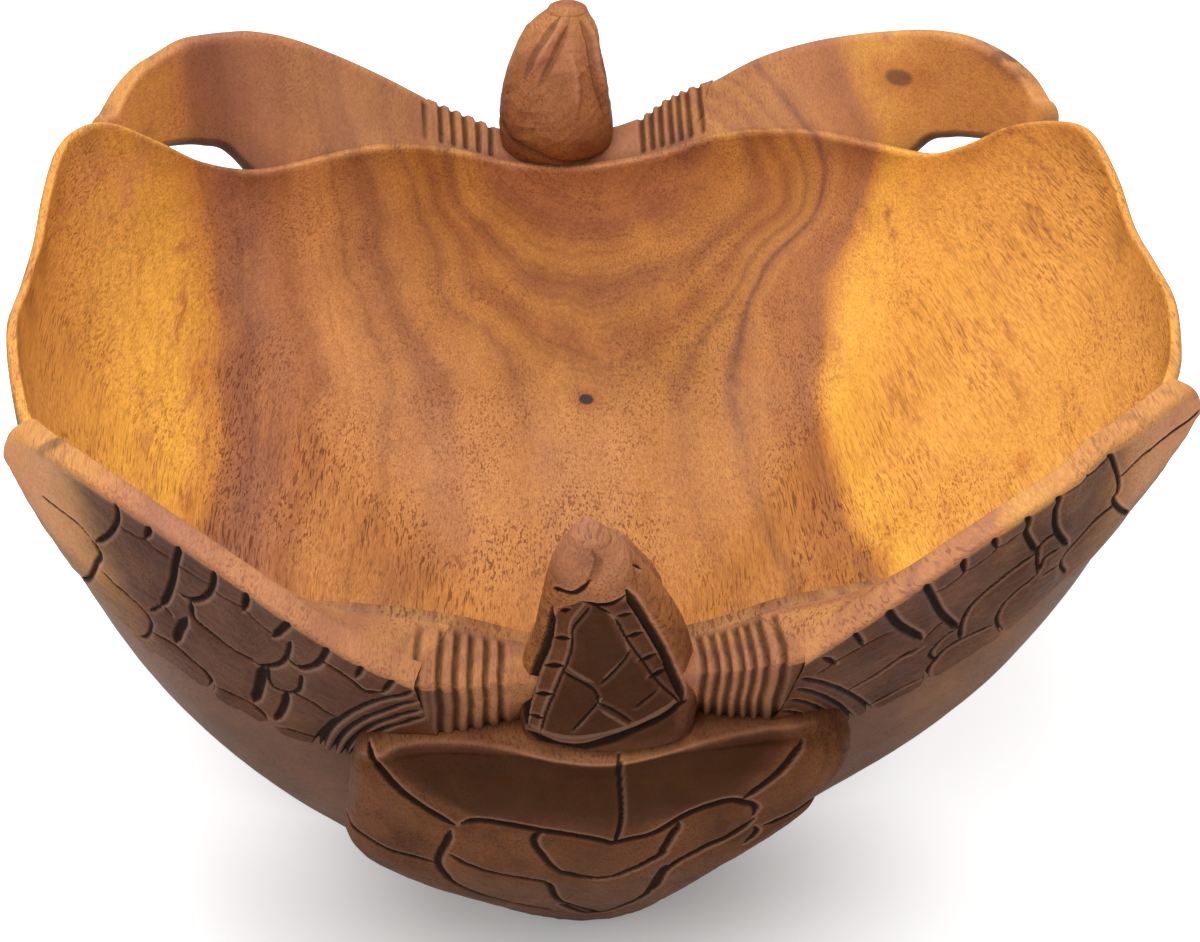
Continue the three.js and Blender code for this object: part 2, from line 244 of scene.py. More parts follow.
class Finish:
    """A material whose nodes are added one by one."""

    def __init__(self, name):
        self.material = bpy.data.materials.new(name)
        self.material.use_nodes = True
        self.tree = self.material.node_tree
        self.tree.nodes.clear()

    def node(self, kind, settings=None, values=None, out=0):
        return add_node(self.tree, kind, settings, values, out)

    def noise(self, spot, stretch, detail=2, roughness=0.5):
        """Noise with so many waves a millimetre along X, Y and Z."""
        scaled = self.node("ShaderNodeVectorMath", {"operation": "MULTIPLY"}, {0: spot, 1: stretch})
        values = {"Vector": scaled, "Scale": 1, "Detail": detail, "Roughness": roughness}
        return self.node("ShaderNodeTexNoise", None, values)

    def lines(self, wire, waves, detail, roughness):
        """Noise along one number, with so many waves a millimetre."""
        values = {"W": wire * waves, "Scale": 1, "Detail": detail, "Roughness": roughness}
        return self.node("ShaderNodeTexNoise", {"noise_dimensions": "1D"}, values)

    def mixed(self, factor, first, second, kind="MIX"):
        """The second colour over the first. A colour is three numbers or a Wire."""
        first, second = (paint if isinstance(paint, Wire) else (*paint, 1) for paint in (first, second))
        settings = {"data_type": "RGBA", "blend_type": kind}
        return self.node("ShaderNodeMix", settings, {0: factor, 6: first, 7: second}, 2)

    def tinted(self, factor, first, second):
        """The first colour, darkened by the second as by a dye."""
        return self.mixed(factor, first, second, "MULTIPLY")

    def tone(self, name):
        return self.node("ShaderNodeAttribute", {"attribute_name": name}, None, "Fac")

    def near(self, spot, middle, sizes):
        """Distance from a place, 1 at the given half sizes."""
        gap = self.node("ShaderNodeVectorMath", {"operation": "SUBTRACT"}, {0: spot, 1: middle})
        share = self.node("ShaderNodeVectorMath", {"operation": "DIVIDE"}, {0: gap, 1: sizes})
        return self.node("ShaderNodeVectorMath", {"operation": "LENGTH"}, {0: share}, "Value")


# Growth lines of the block, by ring number, as places across and along the hollow.
FIGURE = [
    (112, [(-121, 212), (88, 214), (-118, 179), (-115, 170), (-112, 127), (-108, 69), (-110, 23), (95, 187),
           (89, 176), (82, 145), (77, 128), (71, 102), (72, 71), (75, 38), (77, 15)]),
    (101, [(-108, 212), (79, 212), (-106, 180), (-104, 134), (-101, 74), (-103, 18), (88, 184), (81, 167),
           (68, 155), (61, 141)]),
    (92, [(-92, 179), (-93, 143), (-91, 98), (-90, 44), (65, 128), (60, 103), (63, 76), (64, 35)]),
    (84, [(-81, 188), (-75, 170), (-70, 145), (-67, 114), (-70, 67), (-76, 23)]),
    (75, [(52, 130), (47, 114), (47, 93), (48, 71), (54, 43), (60, 9)]),
    (74, [(-66, 164), (-56, 133), (-43, 107), (-37, 76), (-35, 45)]),
    (66, [(-51, 187), (-43, 165), (-31, 136), (-23, 99), (-24, 55), (37, 112), (36, 80), (40, 43)]),
    (62, [(-18, 115), (-14, 97), (-12, 74), (-11, 44), (-14, 12)]),
    (57, [(2, 106), (6, 78), (17, 43), (21, 84), (13, 15)]),
    (52, [(-36, 151), (-18, 140), (5, 129), (31, 134), (51, 149), (69, 174)]),
    (44, [(-41, 182), (-24, 164), (0, 154), (23, 158), (47, 171), (59, 186)]),
    (30, [(-30, 187), (-17, 180), (6, 173), (23, 177), (38, 188)]),
    (16, [(-6, 189), (9, 186), (17, 185)]),
]
# The sheet of ring numbers is worked out in units of 100 mm, and may miss its spots a little.
FIGURE_UNIT, FIGURE_SLACK = 100, 0.02
# The figure repeats at the front as at the rear, round this bend, and leans back with height.
MIDDLE_BEND, FIGURE_LEAN, FIGURE_LEVEL = 20, 0.8, 55
figure_spots = np.array([place for _, line in FIGURE for place in line], float) / FIGURE_UNIT
figure_rings = np.array([ring for ring, line in FIGURE for _ in line], float)


def bend_between(places, spots):
    """The bending of a thin sheet that is held at each spot."""
    gap = np.linalg.norm(places[..., None, :] - spots, axis=-1)
    return gap * gap * np.log(np.maximum(gap, 1e-9))


held = np.concatenate([np.ones((len(figure_spots), 1)), figure_spots], 1)
pull = bend_between(figure_spots, figure_spots) + FIGURE_SLACK * np.eye(len(figure_spots))
figure_weights = np.linalg.solve(
    np.block([[pull, held], [held.T, np.zeros((3, 3))]]), np.concatenate([figure_rings, np.zeros(3)]))


def ring_number(points):
    """Which growth ring each point of the block lies in, about the same at the front as at the rear."""
    along = np.hypot(points[..., 1] + MIDDLE_BEND, MIDDLE_BEND) - MIDDLE_BEND
    along = along + FIGURE_LEAN * (points[..., 2] - FIGURE_LEVEL)
    places = np.stack([points[..., 0], along], -1) / FIGURE_UNIT
    bent = bend_between(places, figure_spots) @ figure_weights[:-3]
    return bent + figure_weights[-3] + places @ figure_weights[-2:]


# Colours of the wood by ring number, from the heart out to the sapwood.
LAST_RING = 140
RING_COLOURS = [
    (0, (0.47, 0.185, 0.068)), (20, (0.50, 0.20, 0.078)), (28, (0.41, 0.155, 0.066)),
    (33, (0.52, 0.215, 0.060)), (39, (0.62, 0.275, 0.068)), (44, (0.40, 0.15, 0.050)),
    (48, (0.53, 0.222, 0.056)), (52, (0.42, 0.152, 0.044)), (55, (0.51, 0.212, 0.056)),
    (59, (0.57, 0.25, 0.062)), (62, (0.41, 0.165, 0.053)), (66, (0.57, 0.248, 0.064)),
    (71, (0.55, 0.235, 0.072)), (75, (0.43, 0.180, 0.068)), (79, (0.50, 0.21, 0.070)),
    (85, (0.62, 0.275, 0.088)), (91, (0.53, 0.22, 0.084)), (97, (0.45, 0.19, 0.094)),
    (103, (0.38, 0.162, 0.088)), (108, (0.48, 0.195, 0.082)), (112, (0.74, 0.32, 0.070)),
    (120, (0.98, 0.50, 0.076)), (134, (0.98, 0.48, 0.082)), (140, (0.96, 0.45, 0.088)),
]
# Knots by place, half sizes and how dark: a small tight one in the rear wall, an oval one in the right rear
# flipper and a fleck in the right wall.
KNOTS = [
    ((2, 110, 50), (2.5, 14, 1.25), 1),
    ((101, 149, 143), (5.4, 10, 3.1), 0.8),
    ((120, -15, 95), (1.3, 5, 3), 0.7),
]


def wood(name, gloss):
    """The block's own wood, the same through every piece, with the carver's stain, painted shade and painted
    highlights where a piece has them.
    """
    f = Finish(name)
    place = f.node("ShaderNodeTexCoord", out="Object")
    spot = f.node("ShaderNodeVectorMath", {"operation": "SCALE"}, {0: place, 3: 1000})
    split = f.node("ShaderNodeSeparateXYZ", None, {0: spot})
    x, y, z = (Wire(f.tree, end) for end in split.socket.node.outputs)

    # The fibre runs along the trunk and leans over towards the right side.
    lean = x.ease(50, 110)
    grain = f.node("ShaderNodeCombineXYZ", None, {0: x + 0.15 * lean * y, 1: y, 2: z})

    # The growth rings, drawn out into fibres, with a plainer stretch and one dark arc on the right.
    broad = f.noise(spot, (0.02, 0.009, 0.02), 3, 0.5)
    drawn = f.noise(grain, (0.16, 0.016, 0.16), 3, 0.6)
    rings = f.tone("ring") + 12 * (broad - 0.5) + 3.5 * (drawn - 0.5)
    stops = [(ring / LAST_RING, paint) for ring, paint in RING_COLOURS]
    figure = f.node("ShaderNodeValToRGB", {"stops": stops}, {"Fac": rings * (1 / LAST_RING)})
    right_side = x.ease(30, 52) * rings.bump_round(97, 19)
    colour = f.mixed(right_side * 0.85, figure, (0.54, 0.215, 0.068))
    dark_arc = x.ease(25, 40) * rings.bump_round(75.5, 3.5)
    colour = f.mixed(dark_arc * 0.85, colour, (0.29, 0.115, 0.058))

    # Sapwood holds loose brown strands and clouds between clear stretches.
    outer_wood = rings.ease(110, 116)
    strand = f.noise(grain, (0.13, 0.022, 0.13), 5, 0.68)
    loose = f.noise(grain, (0.045, 0.018, 0.045), 3, 0.55)
    pale_strand = outer_wood * strand.ease(0.50, 0.72) * (0.35 + 0.65 * loose.ease(0.4, 0.6))
    dark_strand = outer_wood * strand.ease(0.60, 0.74) * loose.ease(0.46, 0.62) * 0.6
    colour = f.mixed(pale_strand, colour, (0.60, 0.225, 0.062))
    colour = f.mixed(dark_strand, colour, (0.36, 0.125, 0.050))

    # Heartwood has thin growth lines, fainter on the right, and is browner low down in its right half.
    heart_wood = 1 - outer_wood
    quiet = 1 - 0.8 * x.ease(10, 40)
    bands = f.lines(rings + 71, 0.17, 4, 0.65)
    colour = f.tinted(heart_wood * bands.ease(0.46, 0.72) * 0.45 * quiet, colour, (0.62, 0.56, 0.60))
    brown_half = heart_wood * x.ease(-45, 5) * (1 - z.ease(60, 110))
    colour = f.tinted(brown_half, colour, (0.88, 0.86, 0.74))

    # Brown and golden streaks along the grain, soft mottling, fine growth lines and a golden floor.
    streak = f.noise(grain, (0.075, 0.009, 0.075), 4, 0.6)
    mottle = f.noise(spot, (0.05, 0.035, 0.05), 4, 0.6)
    fine_ring = f.lines(rings + 300, 0.55, 4, 0.7)
    colour = f.tinted((0.5 - streak).most(0) * 1.7, colour, (0.66, 0.57, 0.58))
    colour = f.mixed((streak - 0.52).most(0) * 1.4, colour, (0.80, 0.36, 0.085))
    colour = f.tinted((mottle - 0.5).most(0) * 1.3, colour, (0.76, 0.68, 0.8))
    colour = f.tinted((fine_ring - 0.5).most(0) * 1.9 * quiet, colour, (0.62, 0.54, 0.56))
    floor_gold = (1 - (x - 8).size().ease(40, 90)) * (1 - z.ease(36, 62))
    colour = f.mixed(floor_gold * 0.4, colour, (0.66, 0.29, 0.088))

    # Dark clouds at both rear flippers' tips, a painted pool of light round the left one and redder wood at
    # the rim.
    cloud = f.noise(spot, (0.09, 0.05, 0.10), 5, 0.7)
    left_tip = (1 - f.near(spot, (-146, 104, 150), (9, 13, 11)).ease(0.4, 1)) * cloud.ease(0.42, 0.56)
    colour = f.mixed(left_tip * 0.8, colour, (0.16, 0.06, 0.035))
    painted_light_left = 1 - f.near(spot, (-138, 90, 142), (28, 50, 24)).ease(0.3, 1)
    colour = f.mixed(painted_light_left * (0.5 - 0.4 * cloud.ease(0.45, 0.6)), colour, (0.90, 0.38, 0.160))
    right_cloud = (1 - f.near(spot, (138, 124, 160), (24, 26, 13)).ease(0.3, 1)) * cloud.ease(0.42, 0.56)
    colour = f.mixed(right_cloud * 0.7, colour, (0.15, 0.055, 0.03))
    red_edge = f.near(spot, (0, 0, 60), (152, 200, 400)).ease(0.9, 1.02) * z.ease(40, 90)
    colour = f.mixed(red_edge * 0.15, colour, (0.55, 0.20, 0.075))

    # Pores: short dark dashes along the grain, dots where the end grain shows, over a fine fibre.
    fibre = f.noise(grain, (1.1, 0.045, 1.1), 4, 0.7)
    hair = f.noise(grain, (3.0, 0.24, 3.0), 2, 0.6)
    thin = f.noise(grain, (1.6, 0.08, 1.6), 1, 0.5)
    patch = f.noise(spot, (0.05, 0.02, 0.05), 3, 0.5).ease(0.38, 0.62)
    pores = thin.ease(0.572, 0.612) * (0.3 + 0.7 * patch) * (1 - 0.3 * outer_wood)
    pores = pores * (1 - 0.4 * y.ease(60, 125))
    colour = f.tinted((0.60 - fibre).most(0) * 2.1, colour, (0.60, 0.52, 0.50))
    colour = f.tinted((hair - 0.5).most(0) * 3.0, colour, (0.62, 0.52, 0.48))
    colour = f.tinted((0.5 - hair).most(0) * 1.5, colour, (1.4, 1.5, 1.7))
    colour = f.tinted(pores * 0.78, colour, (0.33, 0.20, 0.2))

    # Each knot has a darker halo round it.
    for middle, sizes, strength in KNOTS:
        knot = f.near(spot, middle, sizes)
        colour = f.tinted((1 - knot.ease(1.0, 2.8)) * 0.5, colour, (0.72, 0.46, 0.34))
        colour = f.mixed((1 - knot.ease(0.75, 1.1)) * strength, colour, (0.034, 0.018, 0.013))

    # Stain is wiped over the carved outside, sinks into the cuts and is rubbed off their edges. On top of
    # that the cuts are painted darker as painted shade, and edges and tops lighter as painted highlights.
    wanted = f.tone("stain")
    groove = f.tone("groove")
    rubbed = f.tone("rubbed")
    wiped = f.noise(spot, (0.06, 0.02, 0.05), 4, 0.6)
    grit = f.noise(spot, (1.1, 0.6, 1.1), 3, 0.7)
    uneven = wanted * (1.2 - wanted) * 1.2 * (0.5 - wiped) + wanted * (0.5 - grit) * 0.25
    stain = (wanted + uneven).least(1).most(0)
    dye = f.mixed(wiped.ease(0.3, 0.7), (0.060, 0.017, 0.007), (0.104, 0.034, 0.016))
    deep_dye = f.mixed(streak, (0.018, 0.005, 0.001), (0.075, 0.024, 0.006))
    dye = f.mixed(wanted.ease(0.95, 1.25), dye, deep_dye)
    colour = f.mixed(stain * 0.97, colour, dye)
    skin_tone = f.mixed(stain.ease(0.5, 0.9), (0.66, 0.29, 0.175), (0.29, 0.155, 0.100))
    # Rubbed wear and painted highlights: a lighter tan on edges, tops and the outside wall.
    colour = f.mixed(rubbed * (0.35 + 0.65 * grit), colour, skin_tone)
    # Painted shade: cuts and creases go near black, for the stain in them and for the shade in them.
    colour = f.mixed(groove * (0.92 + 0.2 * (grit - 0.5)), colour, (0.014, 0.006, 0.004))

    height = 0.06 * fibre + 0.05 * hair - 0.22 * pores + stain * 0.16 * grit
    normal = f.node("ShaderNodeBump", None, {"Strength": 0.5, "Distance": 0.0006, "Height": height})
    rough = (0.40 + 0.12 * mottle + 0.12 * pores + 0.04 * stain + 0.25 * groove).least(0.95)
    skin = f.node("ShaderNodeBsdfPrincipled", None, {
        "Base Color": colour, "Roughness": rough, "Normal": normal, "Specular IOR Level": gloss})
    f.node("ShaderNodeOutputMaterial", None, {"Surface": skin})
    return f.material


polished_wood = wood("polished_wood", 0.2)
stained_wood = wood("stained_wood", 0.08)

AROUND = 480
BASE_ROWS, WALL_ROWS, LIP_ROWS, HOLLOW_ROWS = ROWS = (9, 62, 12, 82)
BASE, WALL, LIP, HOLLOW = range(4)
# The foot's lower edge is broken by this much.
FOOT_EDGE = 1.6
angle = np.linspace(0, 2 * np.pi, AROUND + 1)[:, None]
base_radius = (wall_radius(angle, 0 * angle) - FOOT_EDGE) * np.linspace(0, 1, BASE_ROWS)[None, :]
lip_foot = rim_height(angle) - LIP_ROUND
wall_height = lip_foot * (0.006 + 0.994 * np.linspace(0, 1, WALL_ROWS)[None, :])
wall_out = wall_radius(angle, wall_height)
lip_turn = np.linspace(0, np.pi, LIP_ROWS + 2)[None, 1:-1]
lip_share = (1 - np.cos(lip_turn)) / 2
lip_out = wall_out[:, -1:] - lip_width(angle) * lip_share
lip_arch = (1 - (1 - lip_share ** 0.8) ** 2) ** 0.5
lip_height = lip_foot + LIP_ROUND * lip_arch * (1 - ease(0.86, 1, lip_share) * 0.45)
hollow_turn = np.pi / 2 * (1 - np.linspace(0, 1, HOLLOW_ROWS)[None, :])
hollow_share = np.sin(hollow_turn) ** (2 / HOLLOW_ROUND)
up = 1 - np.cos(hollow_turn) ** (2 / HOLLOW_ROUND)
hollow_height = FLOOR_HEIGHT + (lip_foot - FLOOR_HEIGHT) * up
thickness = lip_width(angle) + (FOOT_THICKNESS - lip_width(angle)) * (1 - up) ** 1.5
hollow_out = (wall_radius(angle, hollow_height) - thickness) * hollow_share
radius = np.concatenate([base_radius, wall_out, lip_out, hollow_out], 1)
height = np.concatenate([0 * base_radius, wall_height, lip_height, hollow_height], 1)
points = at(angle + 0 * radius, radius, height)
kind = np.repeat([BASE, WALL, LIP, HOLLOW], ROWS)[None, :] + 0 * radius

# The gouge's waves, which fade out at the middle of the floor.
waves = 0.22 * hand_waves(points, 34, 3) + 0.10 * hand_waves(points, 13, 4)
calm = np.where(kind == HOLLOW, 1, np.where(kind == WALL, 0.8, 0)) * ease(0, 25, radius)
points = points - outward(points) * (np.abs(waves) * calm)[..., None]

# The stain runs over the outer half of the lip and has crept over it in places. At the front the lip and the
# hollow under the rim are painted darker, as stain and painted shade, and the outside wall is painted
# lighter, as rubbed wear and a painted sheen.
over_lip = np.concatenate([np.zeros(BASE_ROWS + WALL_ROWS), lip_turn[0] / np.pi, np.ones(HOLLOW_ROWS)])
stain = np.where(kind <= WALL, 0.94, 0) + np.where(kind == LIP, 0.5 * (1 - ease(0, 0.5, over_lip)), 0)
below_rim = (rim_height(angle) - height) + 0 * radius
crept = np.where(kind == HOLLOW, 0.42 * (1 - ease(1.5, 7, below_rim)), 0)
crept = crept * ease(-0.3, 0.5, 0.6 * hand_waves(points, 30, 5))
front_lip = np.where(kind == LIP, 0.34, np.where(kind == HOLLOW, 0.30 * (1 - ease(1, 5, below_rim)), 0))
front_lip = front_lip * ease(-0.55, -0.8, np.sin(angle) + 0 * radius)
carved_sheet("bowl_wood", points, polished_wood, "polished_wood", "bowl_body",
             stain=np.maximum(stain, np.maximum(crept, front_lip)), groove=0 * radius,
             rubbed=np.where(kind <= WALL, 0.42, 0.0))


# Flippers: carved out of the same block, broad blades that stand off the rim and meet the wall below, flat
# along the top. Scales are cut in with a V-gouge on the outer face only; the inner face is smooth.
# Rows by degrees from the neck: reach past the rim, ridge height, lower edge, its reach, 1 where it is free.
LEFT_FRONT = [
    (15.2, 34, 122, 75.5, -1.5, 0), (19, 35.5, 129, 69.5, -1.5, 0), (23, 34.4, 136.5, 66.5, -1.5, 0),
    (28, 30.6, 145, 66.5, -1.5, 0), (33, 27.2, 152, 69.5, -1.5, 0), (38.5, 23, 157, 75.5, -1.5, 0),
    (43, 19.2, 158.6, 85.5, -1.5, 0), (47.5, 14.6, 157, 104, 2, 0), (52, 10.4, 153.6, 122, 5.5, 0),
    (55.3, 9, 152, 138, 7.5, 0),
]
RIGHT_FRONT = [
    (14.2, 34.5, 127.5, 77.5, -1.5, 0), (18.6, 33, 135.7, 73.5, -1.5, 0), (23.8, 29, 143.7, 73.5, -1.5, 0),
    (29.4, 24, 150.3, 78.5, -1.5, 0), (34, 20, 154, 86, -1.5, 0), (38, 17, 156.6, 95.5, -1.5, 0),
    (42, 12, 158, 106, -1.5, 0), (47, 8.6, 157.4, 117, 1, 0), (51.5, 7.2, 157, 125, 2.5, 0),
    (55, 7.4, 156.6, 135, 4.5, 0), (57, 7.6, 155.6, 144, 6, 0),
]
LEFT_REAR = [
    (15.2, 34, 124.5, 75.5, -1.5, 0), (19, 35.5, 132, 70.5, -1.5, 0), (23, 34.6, 139.8, 68.5, -1.5, 0),
    (28, 31, 149, 71.5, -1.5, 0), (32, 28.2, 154, 81.5, -1.5, 0), (34.5, 26.4, 155.6, 105, 8, 0.4),
    (37, 24.2, 157, 121.5, 14.5, 1), (40, 21.2, 158.4, 127, 14, 1), (43.5, 16.8, 158, 130, 13, 1),
    (47, 13.4, 157.2, 132, 11, 1), (50, 11, 154.2, 135, 9, 1), (52.6, 9, 149.5, 139, 7.5, 1),
]
RIGHT_REAR = [
    (14.2, 34.5, 128, 77.5, -1.5, 0), (18.6, 33, 137, 72.5, -1.5, 0), (23.8, 29, 144.7, 71.5, -1.5, 0),
    (28.5, 25.5, 149.8, 75.5, -1.5, 0), (32.5, 22.8, 153.4, 85.5, -1.5, 0), (35, 21.5, 155.3, 106, 7.5, 0.4),
    (37.5, 20, 156.7, 122, 13.5, 1), (40.5, 18, 157.6, 127, 13, 1), (44, 14.8, 157.4, 129.5, 12, 1),
    (47, 12.3, 156.2, 132, 10, 1), (49.8, 10.6, 153.4, 134.5, 8.5, 1), (52, 9.2, 149, 138, 7, 1),
]
BLADE_THICKNESS, RIDGE_ROUND, FACE_SWELL, ROOT_DEPTH, CREASE_DROP = 7, 2.2, 3.5, 1.6, 1
BAND_WIDTH, BAND_RISE = 7, 1.5
# The fine sheet keeps this far inside the ridge, because the solid has flat facets there.
RIDGE_INSET = 0.5


def blade_corners(blade, from_neck, around):
    """Crease, ridge, lower edge and root of a blade's slices, each as distance out and height."""
    reach, top, low, low_reach, free = (smooth_through(blade, from_neck, c) for c in range(1, 6))
    free = np.clip(free, 0, 1)[..., None]
    ridge = np.stack([rim_radius(around) + reach - RIDGE_INSET, top], -1)
    low_edge = np.stack([wall_radius(around, low) + low_reach, low], -1)
    crease_height = np.minimum(rim_height(around), top) - CREASE_DROP
    attached = np.stack([wall_radius(around, crease_height) - ROOT_DEPTH, crease_height], -1)
    crease = attached * (1 - free) + (low_edge + [-BLADE_THICKNESS, 2]) * free
    attached = np.stack([wall_radius(around, low) - ROOT_DEPTH, low + 2], -1)
    root = attached * (1 - free) + (low_edge + [-BLADE_THICKNESS / 2, -2]) * free
    return crease, ridge, low_edge, root


def face_point(ridge, low_edge, share):
    """A place on the swollen outer face: share 0 is the ridge and 1 the lower edge."""
    out = (ridge - low_edge) / np.linalg.norm(ridge - low_edge, axis=-1, keepdims=True)
    swell = FACE_SWELL * np.sin(np.pi * np.clip(share, 0, 1))[..., None]
    return ridge + (low_edge - ridge) * share[..., None] + np.stack([out[..., 1], -out[..., 0]], -1) * swell


def blade_face(blade, neck_angle, side, from_neck, share):
    """Places on the outer face as points, for the cuts that run over it."""
    around = neck_angle + side * np.radians(from_neck)
    _, ridge, low_edge, _ = blade_corners(blade, from_neck, around)
    spot = face_point(ridge, low_edge, np.asarray(share, float))
    return at(around, spot[..., 0], spot[..., 1])


# What a place on a blade belongs to: shares from 0 to 1 run down the outer face, the rest have these numbers.
# The inner face counts on from its own number to one less at the top.
BACK, INNER, INNER_ROUND, TOP_BAND, OUTER_ROUND = -1, -2, -4, -5, -6
# A blade's slices reach this many degrees past its first and last row.
MEET = 0.21
# The tip's end is rounded off as by this power.
TIP_ROUND = 2.4


def straight(first, last):
    """A strip of the slices from one corner to another."""
    return lambda t: first + (last - first) * t


def rounded(first, corner, last):
    """A strip that rounds a corner off."""
    return lambda t: first * (1 - t) ** 2 + 2 * corner * t * (1 - t) + last * t * t


def blade_sheet(blade, neck_angle, side, slices, face_rows, tip_length):
    """A blade as a closed sheet, with what each place belongs to and its degrees from the neck."""
    last_slice = blade[-1][0] + (0 if tip_length else MEET)
    from_neck = np.linspace(blade[0][0] - MEET, last_slice, slices)
    around = neck_angle + side * np.radians(from_neck)
    crease, ridge, low_edge, root = blade_corners(blade, from_neck, around)
    brow = ridge + [-BAND_WIDTH, BAND_RISE]
    inward = (brow - crease) / np.linalg.norm(brow - crease, axis=-1, keepdims=True)
    inner_end = brow - inward * RIDGE_ROUND
    first_share = RIDGE_ROUND / np.linalg.norm(ridge - low_edge, axis=-1)
    outer_start = face_point(ridge, low_edge, first_share)
    band_share = RIDGE_ROUND / math.hypot(BAND_WIDTH, BAND_RISE)
    band_start = brow + (ridge - brow) * band_share
    band_end = ridge + (brow - ridge) * band_share
    sheet, shares = [], []
    for rows, number, count, shape in (
        (8, BACK, 0, straight(root, crease)),
        (39, INNER, -1, straight(crease, inner_end)),
        (7, INNER_ROUND, 0, rounded(inner_end, brow, band_start)),
        (13, TOP_BAND, 0, straight(band_start, band_end)),
        (7, OUTER_ROUND, 0, rounded(band_end, ridge, outer_start)),
    ):
        for t in np.linspace(0, 1, rows + 1)[:-1]:
            sheet.append(shape(t))
            shares.append(number + count * t + 0 * from_neck)
    for t in np.linspace(0, 1, face_rows):
        share = first_share + (1 - first_share) * t
        sheet.append(face_point(ridge, low_edge, share))
        shares.append(share)
    for t in np.linspace(0, 1, 7)[1:]:
        sheet.append(low_edge + (root - low_edge) * t)
        shares.append(BACK + 0 * from_neck)
    sheet = np.stack(sheet, 1)
    shares = np.stack(shares, 1)
    # The corners at the lower edge are eased off with the same strokes all along.
    inside = shares[:, :-1]
    keep = np.where((inside > BACK - 0.5) & ((inside < 0) | (inside > 0.985)), 1.0, 0.0)[..., None]
    for _ in range(14):
        eased = (np.roll(sheet[:, :-1], 1, 1) + np.roll(sheet[:, :-1], -1, 1)) / 2
        sheet[:, :-1] += (eased - sheet[:, :-1]) * 0.5 * keep
        sheet[:, -1] = sheet[:, 0]
    points = at(around[:, None] + 0 * sheet[..., 0], sheet[..., 0], sheet[..., 1])
    if tip_length:
        last = around[-1]
        tangent = side * np.array([-np.sin(last), np.cos(last), 0])
        end = points[-1]
        middle = end.mean(0)
        rings = []
        for t in np.linspace(0, 1, 12)[1:]:
            size = max(1 - t ** TIP_ROUND, 0) ** (1 / TIP_ROUND)
            rings.append(middle + (end - middle) * size + tangent * tip_length * t)
        points = np.concatenate([points, np.array(rings)])
        shares = np.concatenate([shares, np.repeat(shares[-1:], len(rings), 0)])
        from_neck = np.concatenate([from_neck, np.full(len(rings), from_neck[-1] + 1)])
    return points, shares, from_neck


def faces(shares):
    """Masks of a blade's outer face, inner face and top with its two rounds."""
    top = shares < INNER - 1.5
    return shares >= 0, (shares < BACK - 0.5) & ~top, top


def faced_out(points):
    """Unit normals of a closed sheet, away from its middle."""
    facing = outward(points)
    return -facing if ((points - points.mean((0, 1))) * facing).sum() < 0 else facing


def blurred(field, times):
    for _ in range(times):
        field = (np.roll(field, 1, 1) + np.roll(field, -1, 1) + 2 * field) / 4
    return field


# A cut finer than this leaves the wood beside it as it is. A wider one sinks it a little.
FINE_CUT, SUNK_DEPTH, SUNK_REACH = 0.9, 0.28, 1.5
FAR_AWAY = 99.0


def carve(points, cuts, place, facing):
    """Cuts of (width, depth, path), Vs that taper at their ends. Gives depth, darkness in the cuts, which is
    stain and painted shade, and lighter edges, which are rubbed wear and painted highlights, stronger on one
    side.
    """
    flat = points.reshape(-1, 3)
    normals = facing.reshape(-1, 3)
    depth, dark, light = (np.zeros(len(flat)) for _ in range(3))
    beside = np.full(len(flat), FAR_AWAY)
    for width, deep, path in cuts:
        spots = np.array(path, float)
        steps = np.arange(len(spots))
        fine = np.linspace(0, len(spots) - 1, 6 * (len(spots) - 1) + 1)
        line = place(*[smooth_through(np.stack([steps, spots[:, c]], 1), fine) for c in range(2)])
        margin = width + 3.5
        near = np.nonzero(((flat > line.min(0) - margin) & (flat < line.max(0) + margin)).all(1))[0]
        if not len(near):
            continue
        start, step = line[:-1], np.diff(line, axis=0)
        long = np.maximum(np.linalg.norm(step, axis=1), 1e-6)
        run = np.concatenate([[0], np.cumsum(long)])
        gap = flat[near][:, None, :] - start[None]
        t = np.clip((gap * step).sum(-1) / long ** 2, 0, 1)
        miss = gap - step * t[..., None]
        far = np.linalg.norm(miss, axis=-1)
        best = far.argmin(1)
        pick = np.arange(len(near))
        far = far[pick, best]
        along = run[best] + t[pick, best] * long[best]
        taper = np.clip(0.3 + 0.7 * np.minimum(along, run[-1] - along) / (1.2 * width + 0.5), 0, 1)
        half = width / 2 * taper
        side = np.sign((np.cross(step[best], miss[pick, best]) * normals[near]).sum(1))
        share = far / half
        depth[near] = np.maximum(depth[near], deep * taper * np.clip(1.05 - share, 0, 1) ** 0.85)
        dark[near] = np.maximum(dark[near], 1 - ease(0.7, 1.2, share))
        # Painted highlight: a light line beside each cut, brighter on one side, stands for light on the cut's
        # edge as well as rubbed wear.
        edge = np.exp(-((far - half - 0.4) / 0.5) ** 2) * (0.55 + 0.45 * side) * min(width / 1.8, 1)
        light[near] = np.maximum(light[near], edge)
        beside[near] = np.minimum(beside[near], np.maximum(far - half, 0) + FAR_AWAY * (width < FINE_CUT))
    depth += SUNK_DEPTH * np.exp(-((beside / SUNK_REACH) ** 2))
    shape = points.shape[:-1]
    return depth.reshape(shape), dark.reshape(shape), (light * (1 - dark)).reshape(shape)


